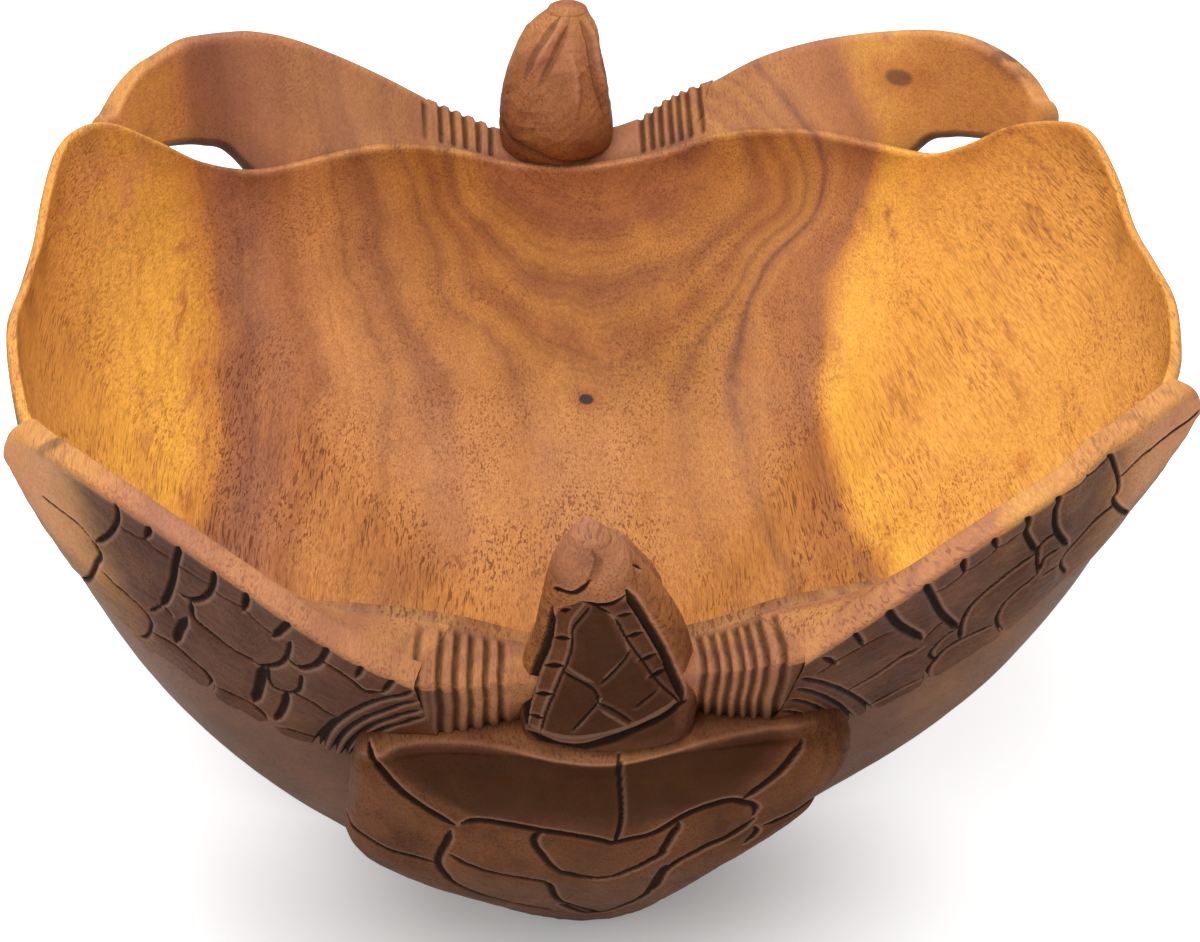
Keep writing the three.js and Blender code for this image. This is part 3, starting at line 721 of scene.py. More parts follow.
# Cuts by width and depth in millimetres and path in degrees from the neck and share down the face.
LEFT_CUTS = [
    (1.8, 1.2, [(38.5, 0), (39.2, .088), (41, .188), (43.7, .306)]),
    (1.8, 1.1, [(44.3, .31), (43.9, .343), (44, .385), (45.7, .527), (50.6, 1.05)]),
    (0.8, 0.4, [(49.9, .31), (46.6, .28), (44.9, .28), (44.3, .31)]),
    (2.2, 1.5, [(35.1, .005), (36.6, .095)]),
    (0.6, 0.3, [(39.2, .117), (36.7, .105), (34.2, .113)]),
    (2.2, 1.5, [(32.6, .01), (34, .117), (35.1, .209), (36.6, .314), (38.1, .402)]),
    (1.0, 0.7, [(38.1, .402), (40.3, .498)]),
    (1.8, 1.2, [(37.8, .402), (37.4, .423)]),
    (1.2, 0.8, [(44.9, .485), (43.8, .502), (42.3, .506), (41.3, .523), (41, .565), (41.8, .636),
                (44.9, .874)]),
    (1.8, 1.3, [(29.8, .02), (30.9, .122), (32.1, .197), (33.2, .243), (34.1, .268), (35, .268)]),
    (0.6, 0.3, [(33.8, .122), (32.3, .113), (30.9, .113)]),
    (1.6, 1.1, [(34.1, .276), (34.7, .36), (33.5, .389), (32, .418), (29.7, .423)]),
    (2.8, 1.5, [(35.6, .385), (37.4, .489), (39.1, .602)]),
    (1.6, 1.1, [(41.9, .661), (39.5, .627), (38.1, .657), (37.4, .694), (37.6, .761), (40.1, .912)]),
    (2.2, 1.5, [(27.1, .01), (28.5, .142)]),
    (0.6, 0.3, [(30.9, .138), (28.4, .13), (26.3, .172)]),
    (2.2, 1.5, [(23.6, 0), (25.3, .117), (26.4, .188)]),
    (1.5, 1.1, [(24.7, .147), (25.9, .264), (27.3, .352), (29, .414), (29.9, .431)]),
    (1.9, 1.3, [(20.9, .01), (22.5, .163), (24, .251), (25.2, .293), (25.9, .272)]),
    (1.8, 1.2, [(22.3, .151), (20.8, .163), (20.1, .184), (19.3, .218), (17.9, .172)]),
    (1.6, 1.2, [(18.4, .0), (19.6, .138)]),
    (1.6, 1.2, [(16.3, .01), (17.8, .172)]),
    (2.0, 1.3, [(27.6, .51), (26, .515), (24.9, .552), (23.7, .552)]),
    (1.3, 0.9, [(25.2, .335), (26.5, .46), (28, .523), (29.5, .54), (29.4, .485), (28.7, .41)]),
    (3.0, 1.6, [(29.3, .427), (31.2, .581), (33.3, .728)]),
    (1.7, 1.2, [(37.2, .765), (35.5, .753), (33.9, .757), (33.2, .799), (33, .849), (30.7, .832),
                (28.1, .816)]),
    (2.2, 1.4, [(28.2, .531), (30, .669), (32.3, .807)]),
    (1.0, 0.6, [(33.3, .836), (33.9, .895), (36, .995), (37.2, 1.02)]),
    (2.0, 1.3, [(23.7, .552), (26.1, .69), (28.4, .82), (30.7, .974)]),
    (1.5, 1.0, [(15.3, .06), (16.4, .147), (18.8, .268), (21.2, .41), (23.6, .552), (26.4, .724),
                (29.6, .937)]),
    (1.5, 1.0, [(15.3, .15), (17.9, .301), (20.3, .435), (22.9, .586), (25.3, .732), (28.6, .945)]),
    (1.5, 1.0, [(15.3, .235), (17.5, .352), (20.1, .489), (22.5, .632), (25, .782), (27.7, .958)]),
    (1.5, 1.0, [(15.3, .3), (17.2, .406), (19.8, .531), (22.8, .703), (25.4, .857), (27.9, 1.012)]),
]
RIGHT_CUTS = [
    (1.8, 1.2, [(41.8, 0), (43.2, .063), (44.8, .226), (45.3, .339), (45.3, .418), (49.8, .807)]),
    (0.8, 0.4, [(45.1, .239), (48, .21), (53.4, .26), (57, .4)]),
    (2.0, 1.5, [(38.8, 0), (39.6, .045)]),
    (0.7, 0.35, [(42.5, .055), (39.7, .046), (36.1, .03)]),
    (2.0, 1.4, [(35, 0), (36.1, .042), (36.2, .109), (37.2, .226), (39.9, .418)]),
    (1.3, 0.9, [(45.8, .443), (43.2, .427), (41.4, .469), (40.2, .489), (40.4, .565), (42.7, .774)]),
    (1.9, 1.3, [(32.2, 0), (33.2, .055), (33.4, .113), (34.6, .201), (35.8, .285)]),
    (1.3, 0.9, [(37.3, .243), (36.2, .243), (35.9, .289), (37.3, .46)]),
    (1.2, 0.8, [(38.6, .377), (37.2, .364), (37.2, .443)]),
    (1.2, 0.8, [(39.8, .535), (38.1, .506)]),
    (2.0, 1.5, [(29.2, 0), (30.5, .095)]),
    (2.0, 1.5, [(26.5, 0), (27.7, .115)]),
    (2.2, 1.5, [(23.2, 0), (25, .138), (27.2, .297), (30.5, .489)]),
    (0.7, 0.35, [(25.2, .126), (27.8, .113), (30.5, .101), (32.8, .092)]),
    (2.5, 1.6, [(20.1, 0), (22.5, .188), (26.4, .402)]),
    (1.0, 0.6, [(26.8, .418), (27.4, .377), (28.3, .364)]),
    (1.6, 1.2, [(17.6, .01), (19.3, .17)]),
    (1.6, 1.2, [(15.6, .07), (17.3, .205)]),
    (1.5, 1.0, [(35.8, .285), (33.8, .297), (31.5, .331), (30.5, .385), (30.7, .477), (31.8, .598)]),
    (1.2, 0.9, [(37.3, .46), (35.8, .473), (34.8, .523), (35.2, .627), (37.4, .824)]),
    (1.6, 1.1, [(35.1, .653), (32.8, .615), (30.8, .611), (30.3, .682), (31, .803), (33.7, .99)]),
    (1.3, 0.9, [(30.5, .489), (29.2, .502), (28.9, .577), (30.2, .665)]),
    (2.0, 1.3, [(27.2, .477), (25, .469), (23, .502), (20.9, .527)]),
    (2.0, 1.3, [(30.8, .803), (28.5, .795), (25.7, .824)]),
    (1.5, 1.0, [(14.4, .165), (15.8, .255), (20.8, .544), (25.7, .824), (28.7, 1.03)]),
    (1.5, 1.0, [(14.4, .255), (16.5, .381), (21.6, .69), (26.8, 1.0)]),
    (1.5, 1.0, [(14.4, .355), (16.8, .494), (21.1, .749), (25.9, 1.03)]),
    (1.5, 1.0, [(14.4, .475), (17.1, .619), (22.2, .916), (25.3, 1.08)]),
    (1.0, 0.6, [(15.8, .209), (17.4, .184), (19.9, .184), (21.9, .201)]),
]


# Creases that the gouge left side by side over the collar, by their place across the bowl. The outermost ones
# run on a little way into the flippers' inner faces.
CREASES = (-47.1, -42.0, -38.2, -34.6, -30.7, -27.0, 21.3, 24.4, 27.3, 30.4, 33.1, 36.0, 39.8)


def creased(points, fade):
    """Depth of the creases, with painted shade in their valleys and painted highlights on the rolls between
    them, where fade is above 0.
    """
    depth, dark, light = (np.zeros(fade.shape) for _ in range(3))
    bent = points[..., 0] + 0.5 * hand_waves(points, 26, 14)
    for middle in CREASES:
        gap = np.abs(bent - middle)
        depth = np.maximum(depth, np.clip(1.3 - gap / 0.85, 0, 1) ** 0.9 * fade)
        dark = np.maximum(dark, (1 - ease(0.2, 1.1, gap)) * fade * 0.75)
        light = np.maximum(light, np.exp(-((gap - 1.6) / 0.6) ** 2) * fade * 0.45)
    return depth, dark, light


FRONT, REAR = -np.pi / 2, np.pi / 2
TIP_LENGTH = 4.2
# Stain on the inner faces. It is wiped off again by the tips on the left.
FRONT_INSIDE, REAR_LEFT_INSIDE, REAR_RIGHT_INSIDE = 0.10, 0.50, 0.24


def flipper(name, blade, cuts, neck_angle, side):
    """A flipper with the cuts of its outer face, squeezed to fit where the blade is shorter."""
    points, shares, from_neck = blade_sheet(blade, neck_angle, side, 300, 150, TIP_LENGTH)
    facing = faced_out(points)
    first, last = blade[0][0], blade[-1][0]
    full = LEFT_FRONT if cuts is LEFT_CUTS else RIGHT_FRONT
    squeeze = (last - first) / (full[-1][0] - full[0][0])

    def place(turn, share):
        return blade_face(blade, neck_angle, side, first + (turn - full[0][0]) * squeeze, share)

    outer, inner, top = faces(shares)
    bare = inner | top
    depth, groove, rubbed = carve(points, cuts, place, facing)
    mask = blurred(np.where(outer, 1.0, 0.0), 3)
    ends = 1 - ease(last - 0.5, last + 0.5, from_neck)[:, None]
    sand = 0.16 * np.abs(hand_waves(points, 12, 8)) + 0.12 * np.abs(hand_waves(points, 5, 9))
    near_neck = np.where(inner, 1 - ease(first + 0.5, first + 4, from_neck)[:, None], 0)
    # Near the neck the inner face is creased, with painted shade in the creases and painted highlights on the
    # rolls.
    crease_depth, crease_shade, crease_highlight = creased(points, near_neck * ease(0.05, 0.2, INNER - shares))
    points = points - facing * ((depth * ends + sand) * mask + crease_depth)[..., None]

    # The outer face is stained all over but for the rubbed tip and the edge along the top.
    long = last - first
    towards_tip = ease(first + 0.62 * long, first + 0.86 * long, from_neck)[:, None]
    low_face = ease(0.35, 0.75, shares)
    stain = 0.98 - 0.74 * towards_tip * (1 - 0.75 * low_face)
    stain = stain * (1 - 0.45 * (1 - ease(0, 0.035, shares)))
    left_tip = ease(116, 124, -points[..., 0])
    plain_side = REAR_LEFT_INSIDE if points[0, 0, 0] < 0 else REAR_RIGHT_INSIDE
    plain_side = FRONT_INSIDE if neck_angle == FRONT else plain_side
    stain = np.where(inner, plain_side * (1 - 0.8 * left_tip), stain)
    scorch = ease(0.1, 0.9, hand_waves(points, 14, 17)) * towards_tip
    stain = np.where(top, 0.2 + 0.5 * scorch, stain)
    stain = blurred(np.where(outer | bare, stain, 0.9), 4)
    rubbed = rubbed * mask + 0.4 * top + 0.8 * towards_tip * outer * (1 - 0.5 * low_face)
    rubbed = np.maximum(rubbed, 0.25 * bare)
    if neck_angle == REAR:
        dusty = 0.28 * bare * (1 - left_tip) * (1 - 0.6 * ease(60, 110, points[..., 0]))
        rubbed = np.maximum(rubbed, dusty)
    groove = np.maximum(groove * mask * ends, crease_shade)
    carved_sheet("carved_" + name, points, stained_wood, "stained_wood", name,
                 stain=stain, groove=groove, rubbed=np.maximum(rubbed, crease_highlight))


flipper("front_left_flipper", LEFT_FRONT, LEFT_CUTS, FRONT, -1)
flipper("front_right_flipper", RIGHT_FRONT, RIGHT_CUTS, FRONT, 1)
flipper("rear_left_flipper", LEFT_REAR, LEFT_CUTS, REAR, 1)
flipper("rear_right_flipper", RIGHT_REAR, RIGHT_CUTS, REAR, -1)


# Necks: a collar of skin between the flippers, carved out of the same block and creased across like an
# accordion, where the carver drew the gouge from the lip over the ridge and down.
REAR_COLLAR = [
    (-14.8, 33.7, 124, 75.9, -1.5, 0), (-11, 27.5, 120, 82.5, -1.5, 0), (-7, 19, 117.5, 89.5, -1.5, 0),
    (0, 18, 117, 93.5, -1.5, 0), (6.5, 20.5, 120, 89.5, -1.5, 0), (10.2, 29.6, 125, 83.5, -1.5, 0),
    (13.8, 34.2, 128.2, 77.9, -1.5, 0),
]
FRONT_COLLAR = [
    (-14.8, 33.7, 121.5, 75.9, -1.5, 0), (-11, 27.5, 117.5, 82.5, -1.5, 0), (-7, 19, 114, 89.5, -1.5, 0),
    (0, 18, 112, 93.5, -1.5, 0), (6.5, 20.5, 116.5, 89.5, -1.5, 0), (10.2, 29.6, 122.5, 83.5, -1.5, 0),
    (13.8, 34.2, 127.6, 77.9, -1.5, 0),
]


def neck(name, collar, neck_angle, side):
    points, shares, from_neck = blade_sheet(collar, neck_angle, side, 300, 100, 0)
    facing = faced_out(points)
    outer, inner, top = faces(shares)
    bare = inner | top
    fade = np.where(outer, 1 - ease(0.75, 1.0, shares), np.where(bare, 1.0, 0.0))
    fade = fade * np.where(inner, ease(0.05, 0.2, INNER - shares), 1.0)
    depth, dark, light = creased(points, fade)
    sand = 0.12 * np.abs(hand_waves(points, 6, 12))
    points = points - facing * (depth + sand)[..., None]
    near_lip = np.where(inner, 1 - ease(0.1, 0.45, INNER - shares), 0.0)
    # Painted shade: the outer face is painted darker low down and towards its ends beside the flippers, over
    # its stain.
    collar_shade = np.maximum(ease(0.2, 0.55, shares), ease(11, 14.5, np.abs(from_neck))[:, None] * ~bare)
    stain = np.where(bare, 0.42 + 0.25 * near_lip, 0.5 + 0.5 * collar_shade)
    light = np.maximum(light, 0.3 * (1 - dark) * np.where(bare, 1, 1 - collar_shade))

    # Both ends are closed with a flat fan, which hides against the flippers.
    caps = [np.repeat(end.mean(0)[None, None], points.shape[1], 1) for end in (points[0], points[-1])]
    points = np.concatenate([caps[0], points, caps[1]])
    stain, dark, light = (np.concatenate([tone[:1], tone, tone[-1:]]) for tone in (stain, dark, light))
    carved_sheet("carved_" + name, points, stained_wood, "stained_wood", name,
                 stain=stain, groove=dark, rubbed=light)


neck("front_neck", FRONT_COLLAR, FRONT, 1)
neck("rear_neck", REAR_COLLAR, REAR, -1)


# Heads: a blunt turtle's head that rises out of the collar, beak up, carved out of the same block. Outside
# is a shield of scales between two rows of small ones; the side over the bowl has soft folds of skin.
# Slices by height: place across the bowl, place outwards from its middle, half width and half depth.
FRONT_SLICES = [
    (97.5, -1.2, 161, 21, 11.5), (105, -1.2, 161, 22, 13), (112, -0.9, 160.5, 21.8, 13.5),
    (118, -0.9, 158.5, 20.5, 15.5), (124, -0.6, 158, 18.6, 16.5), (134, -2, 160.5, 15.3, 15.5),
    (144, -4.2, 164, 11.4, 13), (151.5, -5.4, 167, 7.9, 9.5), (156, -6.1, 169, 4.3, 6),
    (157.8, -6.3, 169.5, 1.2, 2),
]
REAR_SLICES = [
    (97.5, -5.8, 161, 16, 11.5), (105, -5.8, 161, 17.4, 13), (112, -5.8, 160.5, 17.5, 13.5),
    (118, -5.8, 158.5, 17.7, 15.5), (124, -5.9, 158, 18, 16.5), (134, -6, 160.5, 16.9, 15.5),
    (144, -5.4, 164, 14.2, 13), (152, -3.9, 167, 10.8, 9.5), (157.5, -1.8, 169, 6.2, 6),
    (160, 0.4, 169.5, 1.6, 2),
]
# Cuts by width and depth, path in degrees round the head (270 faces away from the bowl) and height.
SHIELD_CUTS = [
    (1.3, 0.9, [(206, 141.5), (222, 143), (240, 143.8), (254, 146), (262, 147.6)]),
    (1.6, 1.0, [(250, 141.4), (268, 140.8), (284, 141), (301, 142.8)]),
    (2.8, 1.9, [(207, 136), (209, 131), (206, 117), (199, 107), (197, 101)]),
    (2.4, 1.7, [(305, 144), (308.5, 134), (313, 124.6), (318.5, 117), (326, 108.7)]),
    (0.7, 0.5, [(256, 139.6), (237, 132.6), (236, 126.4), (233, 118.2), (228, 111.4), (218, 101)]),
    (0.7, 0.5, [(281, 136.3), (287.5, 127.4), (305, 115.7), (324, 108.2)]),
    (0.7, 0.5, [(256.5, 141), (277.5, 138.2)]),
    (0.7, 0.5, [(286, 126.6), (263, 117)]),
    (0.8, 0.6, [(233, 119.2), (257, 115.8), (262, 111.4)]),
    (0.7, 0.5, [(262, 112), (245, 103)]),
    (0.7, 0.5, [(262, 111.5), (271, 109.9), (284, 106)]),
    (0.6, 0.4, [(303, 114), (286, 110)]),
    (1.4, 0.8, [(218, 135.4), (232, 137.4)]), (1.4, 0.8, [(217, 127), (233, 128.6)]),
    (1.4, 0.8, [(215, 119), (232, 120.6)]), (1.4, 0.8, [(211, 111), (227, 112.4)]),
    (1.4, 0.8, [(204, 104), (221, 105)]),
    (1.4, 0.8, [(284, 137), (299, 137)]), (1.4, 0.8, [(285, 130.4), (302, 130.8)]),
    (1.4, 0.8, [(291, 122.6), (307, 123.6)]), (1.4, 0.8, [(298, 117.4), (314, 118.4)]),
    (2.2, 1.3, [(200, 99), (240, 98), (263, 99.6), (287, 103), (311, 106), (330, 108.4)]),
    (0.9, 0.5, [(338, 148), (352, 144.8)]),
]
SHIELD_RIDGES = [
    (0.9, [(215.5, 133), (216.5, 124), (212, 112), (201, 101)]),
    (0.9, [(255, 142), (234.5, 134.6), (232.6, 126.4), (230, 118.2), (224.5, 111.4), (215, 101)]),
    (0.9, [(259, 140.8), (278.5, 137.4), (284.5, 128), (281, 124)]),
    (0.9, [(301, 141.6), (303.5, 133), (308, 124), (319, 116.6)]),
    (0.9, [(284.5, 126), (264.5, 118.6)]), (0.9, [(234, 121), (258, 117.4)]),
    (0.9, [(264, 113), (247.5, 103.6)]), (0.9, [(263, 110), (283, 104.6)]),
    (1.2, [(199, 101.4), (240, 100.8), (264, 102.4), (287, 105.4), (311, 108.6), (328, 110.6)]),
]
CHIN_CUTS = [
    (3.2, 1.7, [(112, 157), (118.5, 151.8), (127.5, 147.3), (133, 141)]),
    (2.6, 1.2, [(84, 155), (93, 150), (104, 144), (111, 140)]),
    (1.2, 0.5, [(100, 146), (108, 142.6)]),
    (2.6, 1.3, [(52, 156), (41, 151), (39, 143.6), (36, 136.8), (27, 128)]),
    (1.2, 0.6, [(163, 134.4), (153, 136)]),
    (2.4, 1.3, [(170, 126.4), (146, 122.6), (121, 120.3), (102, 117.6), (78, 115.2), (49, 115.4),
                (27, 117.4)]),
]
CHIN_FOLDS = [
    (4.4, [(92, 158.5), (101, 154.3), (111.5, 149.3), (122, 143)]),
    (3.6, [(71.5, 147), (66.5, 141), (68.5, 132)]),
    (3.0, [(34, 155), (27, 149), (27, 142), (24, 134)]),
]

# Soft folds on the beak's outer side.
BEAK_FOLDS = [
    (2.4, 1.1, [(258, 147), (272, 149.6), (283, 152.6), (276, 155)]),
    (2.2, 1.0, [(322, 143), (332, 146.6), (344, 149)]),
]

# Soft lumps by degrees round the head, height, half width and how far they stand out.
HEAD_LUMPS = [(228, 148, 5, 1.5), (304, 149, 4.5, 1.7), (274, 144.6, 3.6, 0.9), (262, 151.5, 3, -1.2),
              (318, 140, 7, 0.8), (340, 150, 5, 0.7)]

HEAD_STEPS = 300
HEAD_FOOT = 97.5
# The top of the beak is a dome this high.
CROWN = 2.8


def head(name, slices, end):
    """A head. Degrees round it are measured as seen from outside its own end of the bowl."""
    turn = np.linspace(0, 2 * np.pi, HEAD_STEPS + 1)[:, None]
    beak = slices[-1][0]
    rise = HEAD_FOOT + (beak - HEAD_FOOT) * (1 - (1 - np.linspace(0, 1, HEAD_STEPS)) ** 1.25)[None, :]
    height = rise + 0 * turn

    def sized(heights):
        return (smooth_through(slices, heights, column) for column in range(1, 5))

    def place(degrees, heights):
        heights = np.clip(heights, HEAD_FOOT, beak)
        side, out, wide, deep = sized(heights)
        wide, deep = np.maximum(wide, 0.2), np.maximum(deep, 0.2)
        spin = np.radians(degrees)
        return np.stack([side + wide * np.cos(spin), end * out + deep * np.sin(spin), heights], -1)

    def spun(cuts):
        """Cuts turned to this head's own end. Ridges and folds without a depth get 1."""
        turned = -1 if end > 0 else 1
        cuts = [cut if len(cut) > 2 else (cut[0], 1, cut[1]) for cut in cuts]
        return [(width, deep, [(turned * a, h) for a, h in path]) for width, deep, path in cuts]

    side, out, wide, deep = sized(np.minimum(height, beak - CROWN))
    dome = np.sqrt(1 - np.clip((height - beak + CROWN) / CROWN, 0, 1) ** 2)
    points = np.stack([side + wide * dome * np.cos(turn), end * out + deep * dome * np.sin(turn), height], -1)
    facing = faced_out(points)
    depth, dark, light = carve(points, spun(SHIELD_CUTS), place, facing)
    chin_depth, chin_dark, _ = carve(points, spun(CHIN_CUTS), place, facing)
    raised, ridge_light, _ = carve(points, spun(SHIELD_RIDGES), place, facing)
    fold_up, _, _ = carve(points, spun(CHIN_FOLDS), place, facing)
    beak_depth, beak_dark, _ = carve(points, spun(BEAK_FOLDS), place, facing)
    depth = np.maximum(depth, 0.8 * chin_depth) - 0.35 * np.clip(raised - 0.3, 0, 1) * (1 - dark) \
        - 1.5 * np.clip(fold_up - 0.15, 0, 1) + beak_depth
    for degrees, level, half_width, tall in HEAD_LUMPS:
        middle = place(np.array([-end * degrees]), np.array([level]))[0]
        depth = depth - tall * np.exp(-(np.linalg.norm(points - middle, axis=-1) / half_width) ** 2)

    # The shield lies a little deeper than the skin round it, between its two edges.
    across = -end * np.degrees(turn) % 360
    left_edge = np.interp(height, [99, 103, 117, 131, 136, 141], [196, 200, 207, 210, 215, 245])
    right_edge = np.interp(height, [99, 108.7, 117, 124.6, 134, 144], [330, 326, 318, 312, 307, 303])
    shield = ease(-3, 3, across - left_edge) * ease(-3, 3, right_edge - across)
    shield = shield * ease(99, 102, height) * (1 - ease(140, 143, height))
    sand = 0.25 * np.abs(hand_waves(points, 7, 21))
    depth = (depth + sand + 0.8 * shield) * (1 - ease(beak - 1.8, beak - 0.3, height))
    points = points - facing * depth[..., None]

    # Stain is deepest in the shield's middle. The skin is painted darker towards the collar, as painted
    # shade.
    left_field = np.interp(height, [101, 111, 118, 126, 134, 140], [216, 226, 231, 234, 235, 254])
    right_field = np.interp(height, [107, 115, 127, 136], [324, 305, 286, 279])
    fields = shield * ease(2, 8, across - left_field) * ease(2, 8, right_field - across)
    skin = 0.26 * (1 - ease(120, 142, height)) + 0.5 * (1 - ease(104, 116, height))
    stain = 0.26 + 0.70 * shield + 0.25 * fields + skin * (1 - shield)
    light = np.clip(light * 0.6 + 0.675 * ridge_light * (1 - dark), 0, 1)
    light = np.maximum(light, 0.3 * ease(141, 150, height))
    light = np.clip(light + 0.3 * np.clip(fold_up, 0, 1), 0, 1)
    dark = np.clip(dark + 0.32 * chin_dark + 0.25 * beak_dark, 0, 1)
    carved_sheet("carved_" + name, points, stained_wood, "stained_wood", name,
                 stain=stain, groove=dark, rubbed=light)


head("front_head", FRONT_SLICES, -1)
head("rear_head", REAR_SLICES, 1)


# Shells: a heart-shaped shield on each end wall, carved out of the same block and swelling off it over a
# thick rim, cut into plates round a raised spine. Stained darkest, with the upper edge painted bright, as
# rubbed wear and as a painted highlight.
# Outline by degrees round the shell: degrees from the neck, height. Then how far it stands off, by height.
SHELL_OUTLINE = [
    (0, 20.6, 74), (26, 22, 90), (51, 14, 98.5), (77, 0, 98), (103, -14, 98.5), (129, -22, 92),
    (154, -24.6, 73.5), (180, -26.3, 51), (206, -21.5, 28.5), (231, -11.5, 9), (257, -1, 1.4), (283, 7, 10),
    (309, 12.2, 40), (334, 19.2, 65), (360, 20.6, 74),
]
SHELL_PROUD = [(0, 17.5), (18, 18), (36, 23.8), (55, 28), (78, 27.5), (98, 25)]
# How much of that is reached from the shell's middle to its edge.
SHELL_SWELL = [(0, 1), (0.22, 1), (0.5, 1), (0.76, 0.97), (0.9, 0.85), (0.97, 0.6), (1, 0.3)]
SHELL_CUTS = [
    (2.1, 1.3, [(128, .97), (131, .84), (136, .68), (141.5, .545)]),
    (1.3, 0.9, [(76, .9), (75, .7), (73, .5), (69, .2)]),
    (2.0, 1.1, [(138.5, .525), (127, .47), (110, .345), (80, .235), (69, .2), (49.5, .27), (47.5, .45),
                (41.5, .55), (33.5, .56), (15, .565)]),
    (2.1, 1.2, [(147, .555), (167, .565), (188.5, .595), (200.5, .64), (237.5, .705)]),
    (1.9, 1.1, [(162.5, .95), (178, .575)]),
    (1.9, 1.1, [(168, .53), (212, .295), (235.5, .49), (257.5, .745)]),
    (2.0, 1.1, [(108, .33), (169, .19), (214.5, .175), (255, .16)]),
    (1.9, 1.1, [(42, .925), (37, .585)]),
    (1.8, 1.0, [(357.5, .625), (329, .675)]),
    (2.1, 1.2, [(369.5, .585), (320, .42), (292.5, .54)]),
    (2.1, 1.2, [(405, .37), (383.5, .25), (324, .255), (285.5, .165), (240, .155), (197.5, .165)]),
    (2.0, 1.1, [(317, .385), (291.5, .51), (256, .74), (238, .565)]),
    (1.8, 1.0, [(353, .67), (356, .8), (359, .97)]),
]
# The lower edge of the rubbed band along the top, by degrees round the shell.
BAND = [(30, 1), (44, .95), (52.5, .935), (63, .905), (76, .835), (86, .85), (93.5, .9), (104.5, .925),
        (117.5, .925), (126.5, .915), (140, 1)]
SHELL_MIDDLE, SHELL_TOP = (-1, 58), 98.5
ROOT_ROWS, SHELL_RINGS, SHELL_STEPS = 5, 148, 640


def shell_point(neck_angle, side, turn, size, swell):
    across, height = (middle + (smooth_through(SHELL_OUTLINE, turn % 360, column, True) - middle) * size
                      for column, middle in enumerate(SHELL_MIDDLE, 1))
    around = neck_angle + side * np.radians(across)
    proud = swell * smooth_through(SHELL_PROUD, np.clip(height, 0, SHELL_TOP))
    return at(around, wall_radius(around, height) + proud, height)


def shell(name, neck_angle, side):
    turn = np.linspace(0, 360, SHELL_STEPS + 1)[:, None]
    size = np.concatenate([np.full(ROOT_ROWS, 1.0), 1 - np.linspace(0, 1, SHELL_RINGS) ** 1.3])[None, :]
    swell = np.interp(size, *np.transpose(SHELL_SWELL))
    swell[0, :ROOT_ROWS] = np.linspace(-0.12, 0.28, ROOT_ROWS)
    for _ in range(20):
        inner_rows = swell[0, ROOT_ROWS:-1]
        swell[0, ROOT_ROWS:-1] = (swell[0, ROOT_ROWS - 1:-2] + swell[0, ROOT_ROWS + 1:] + 2 * inner_rows) / 4
    points = shell_point(neck_angle, side, turn + 0 * size, size + 0 * turn, swell + 0 * turn)
    facing = faced_out(points)

    def place(turns, sizes):
        swells = np.interp(sizes, size[0, ROOT_ROWS:][::-1], swell[0, ROOT_ROWS:][::-1])
        return shell_point(neck_angle, side, turns, sizes, swells)

    depth, dark, light = carve(points, SHELL_CUTS, place, facing)
    # The band along the top has a shallow hollow under it.
    upper = ease(30, 48, turn) * (1 - ease(126, 140, turn))
    above = size - smooth_through(BAND, np.clip(turn, BAND[0][0], BAND[-1][0]))
    band = ease(-0.006, 0.012, above) * upper * ease(0, 0.03, 1 - size)
    hollow = ease(-0.30, -0.02, above) * (1 - ease(-0.02, 0.0, above)) * upper
    crease = np.exp(-((above + 0.006) / 0.012) ** 2) * upper
    mask = ease(0.0, 0.02, 1 - size)
    sand = 0.2 * np.abs(hand_waves(points, 16, 31)) + 0.1 * np.abs(hand_waves(points, 6, 32))
    points = points - facing * ((depth + sand + 1.5 * hollow + 0.3 * crease) * mask)[..., None]
    between = ease(42, 52, turn) * (1 - ease(120, 130, turn))
    field = between * ease(-0.02, 0.03, -above) * (1 - ease(0.30, 0.62, -above))
    # Painted highlight: a thin bright line along the band's top edge, as if it caught the light.
    rim_highlight = np.exp(-((above - 0.010) / 0.009) ** 2) * upper
    stain = 0.88 + 0.34 * field - 0.34 * band * (1 - ease(0.95, 1.0, size))
    rubbed = light * mask * 0.8 + (0.2 * band + 0.4 * rim_highlight) * (1 - dark) * (1 - ease(0.965, 1.0, size))
    carved_sheet("carved_" + name, points, stained_wood, "stained_wood", name,
                 stain=stain, groove=dark * mask, rubbed=np.clip(rubbed, 0, 1))


shell("front_shell", FRONT, 1)
shell("rear_shell", REAR, -1)
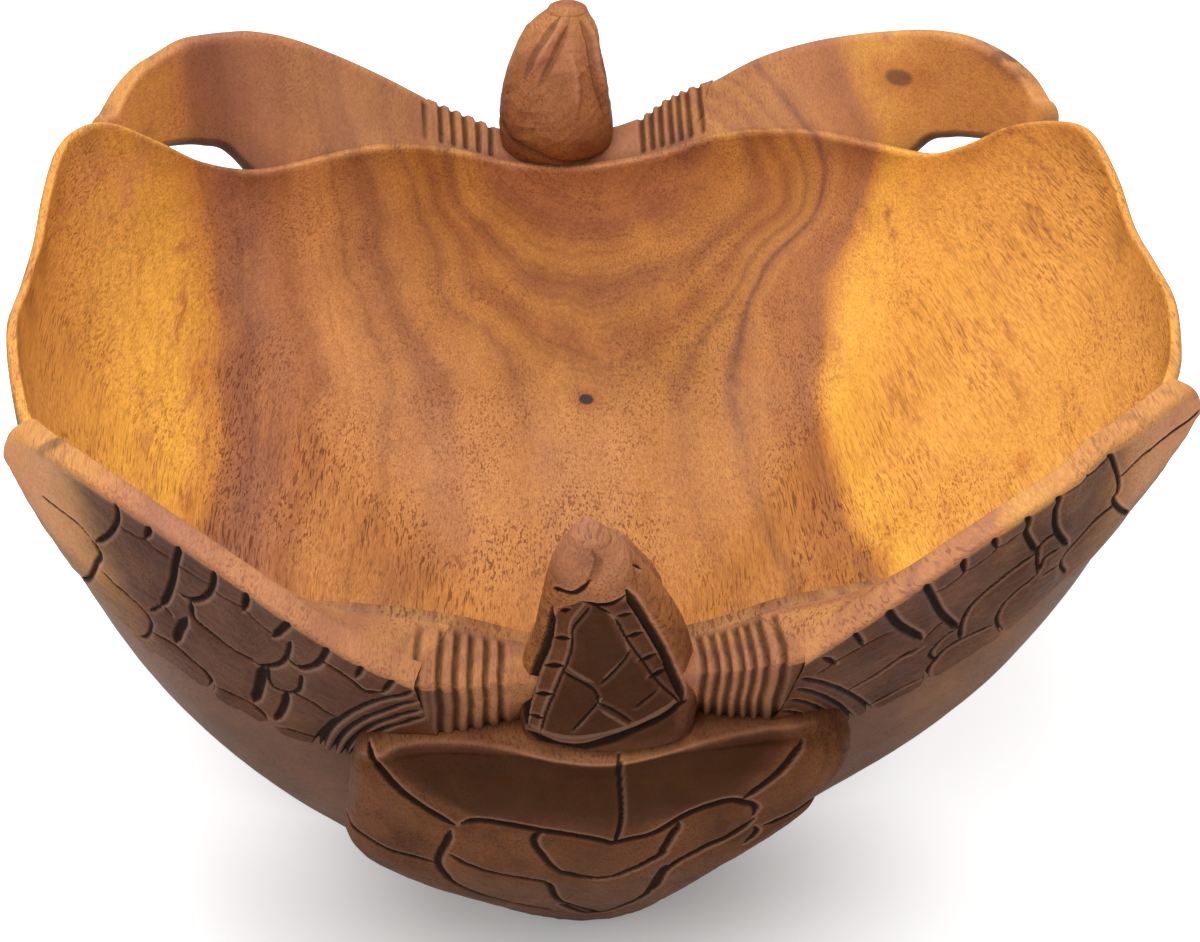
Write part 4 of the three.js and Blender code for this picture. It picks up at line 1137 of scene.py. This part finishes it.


# Studio: a pale seamless floor that the camera sees as white but for the bowl's soft shadow, partly cast and
# partly painted, one broad light overhead, a weaker one from the front, and the photograph's camera.
floor_finish = Finish("studio_floor")
paper = floor_finish.node("ShaderNodeBsdfDiffuse", None, {"Color": (0.86, 0.86, 0.86, 1)})
seen = floor_finish.node("ShaderNodeLightPath", out="Is Camera Ray")
mirrored = floor_finish.node("ShaderNodeLightPath", out="Is Glossy Ray")
ground = floor_finish.node("ShaderNodeTexCoord", out="Object")
# Painted shadow: the camera sees less glow in ellipses round the bowl's middle and its two ends.
clear = floor_finish.near(ground, (-0.01, 0, 0), (0.11, 0.13, 1)).ease(0.3, 1.0)
for end in (-0.09, 0.09):
    clear = clear.least(floor_finish.near(ground, (-0.01, end, 0), (0.13, 0.09, 1)).ease(0.2, 1.0))
glow = floor_finish.node("ShaderNodeEmission", None, {
    "Color": (1, 1, 1, 1), "Strength": seen * (0.20 + 0.50 * clear) + mirrored * 0.1})
both = floor_finish.node("ShaderNodeAddShader", None, {0: paper, 1: glow})
floor_finish.node("ShaderNodeOutputMaterial", None, {"Surface": both})
bpy.ops.mesh.primitive_plane_add(size=12, location=(0, 0, 0))
floor = bpy.context.active_object
floor.name = "studio_floor"
floor.data.materials.append(floor_finish.material)

world = bpy.data.worlds.new("studio")
bpy.context.scene.world = world
world.use_nodes = True
sky = world.node_tree
# The camera sees the backdrop white, while its light on the object is weaker.
backdrop = add_node(sky, "ShaderNodeLightPath", out="Is Camera Ray")
strength = add_node(sky, "ShaderNodeMix", {"data_type": "FLOAT"}, {0: backdrop, 2: 0.46, 3: 1.0})
sky.links.new(strength.socket, sky.nodes["Background"].inputs["Strength"])
sky.nodes["Background"].inputs["Color"].default_value = (1, 1, 1, 1)

for name, spot, aim, size, watts in (
    ("top_light", (-0.10, 0.05, 1.5), (0, 0, 0.08), 0.9, 16.5),
    ("front_light", (-0.30, -1.5, 1.25), (0, 0, 0.08), 0.8, 9),
):
    bpy.ops.object.light_add(type="AREA", location=spot)
    lamp = bpy.context.active_object
    lamp.name = name
    lamp.data.size = size
    lamp.data.energy = watts
    lamp.rotation_euler = (Vector(aim) - Vector(spot)).to_track_quat("-Z", "Y").to_euler()

ELEVATION, AZIMUTH, DISTANCE, LENS = math.radians(28), math.radians(-2), 1.095, 115.5
target = Vector((0.0025, 0, 0.083))
level = math.cos(ELEVATION)
back = Vector((math.sin(AZIMUTH) * level, -math.cos(AZIMUTH) * level, math.sin(ELEVATION)))
right = Vector((math.cos(AZIMUTH), math.sin(AZIMUTH), 0))
above = back.cross(right)
bpy.ops.object.camera_add(location=target + back * DISTANCE)
camera = bpy.context.active_object
camera.name = "camera"
camera.rotation_euler = Matrix((right, above, back)).transposed().to_euler()
camera.data.lens = LENS
camera.data.sensor_width = 36
camera.data.clip_start = 0.05
bpy.context.scene.camera = camera
bpy.context.scene.view_settings.view_transform = "Standard"

bpy.context.view_layer.update()
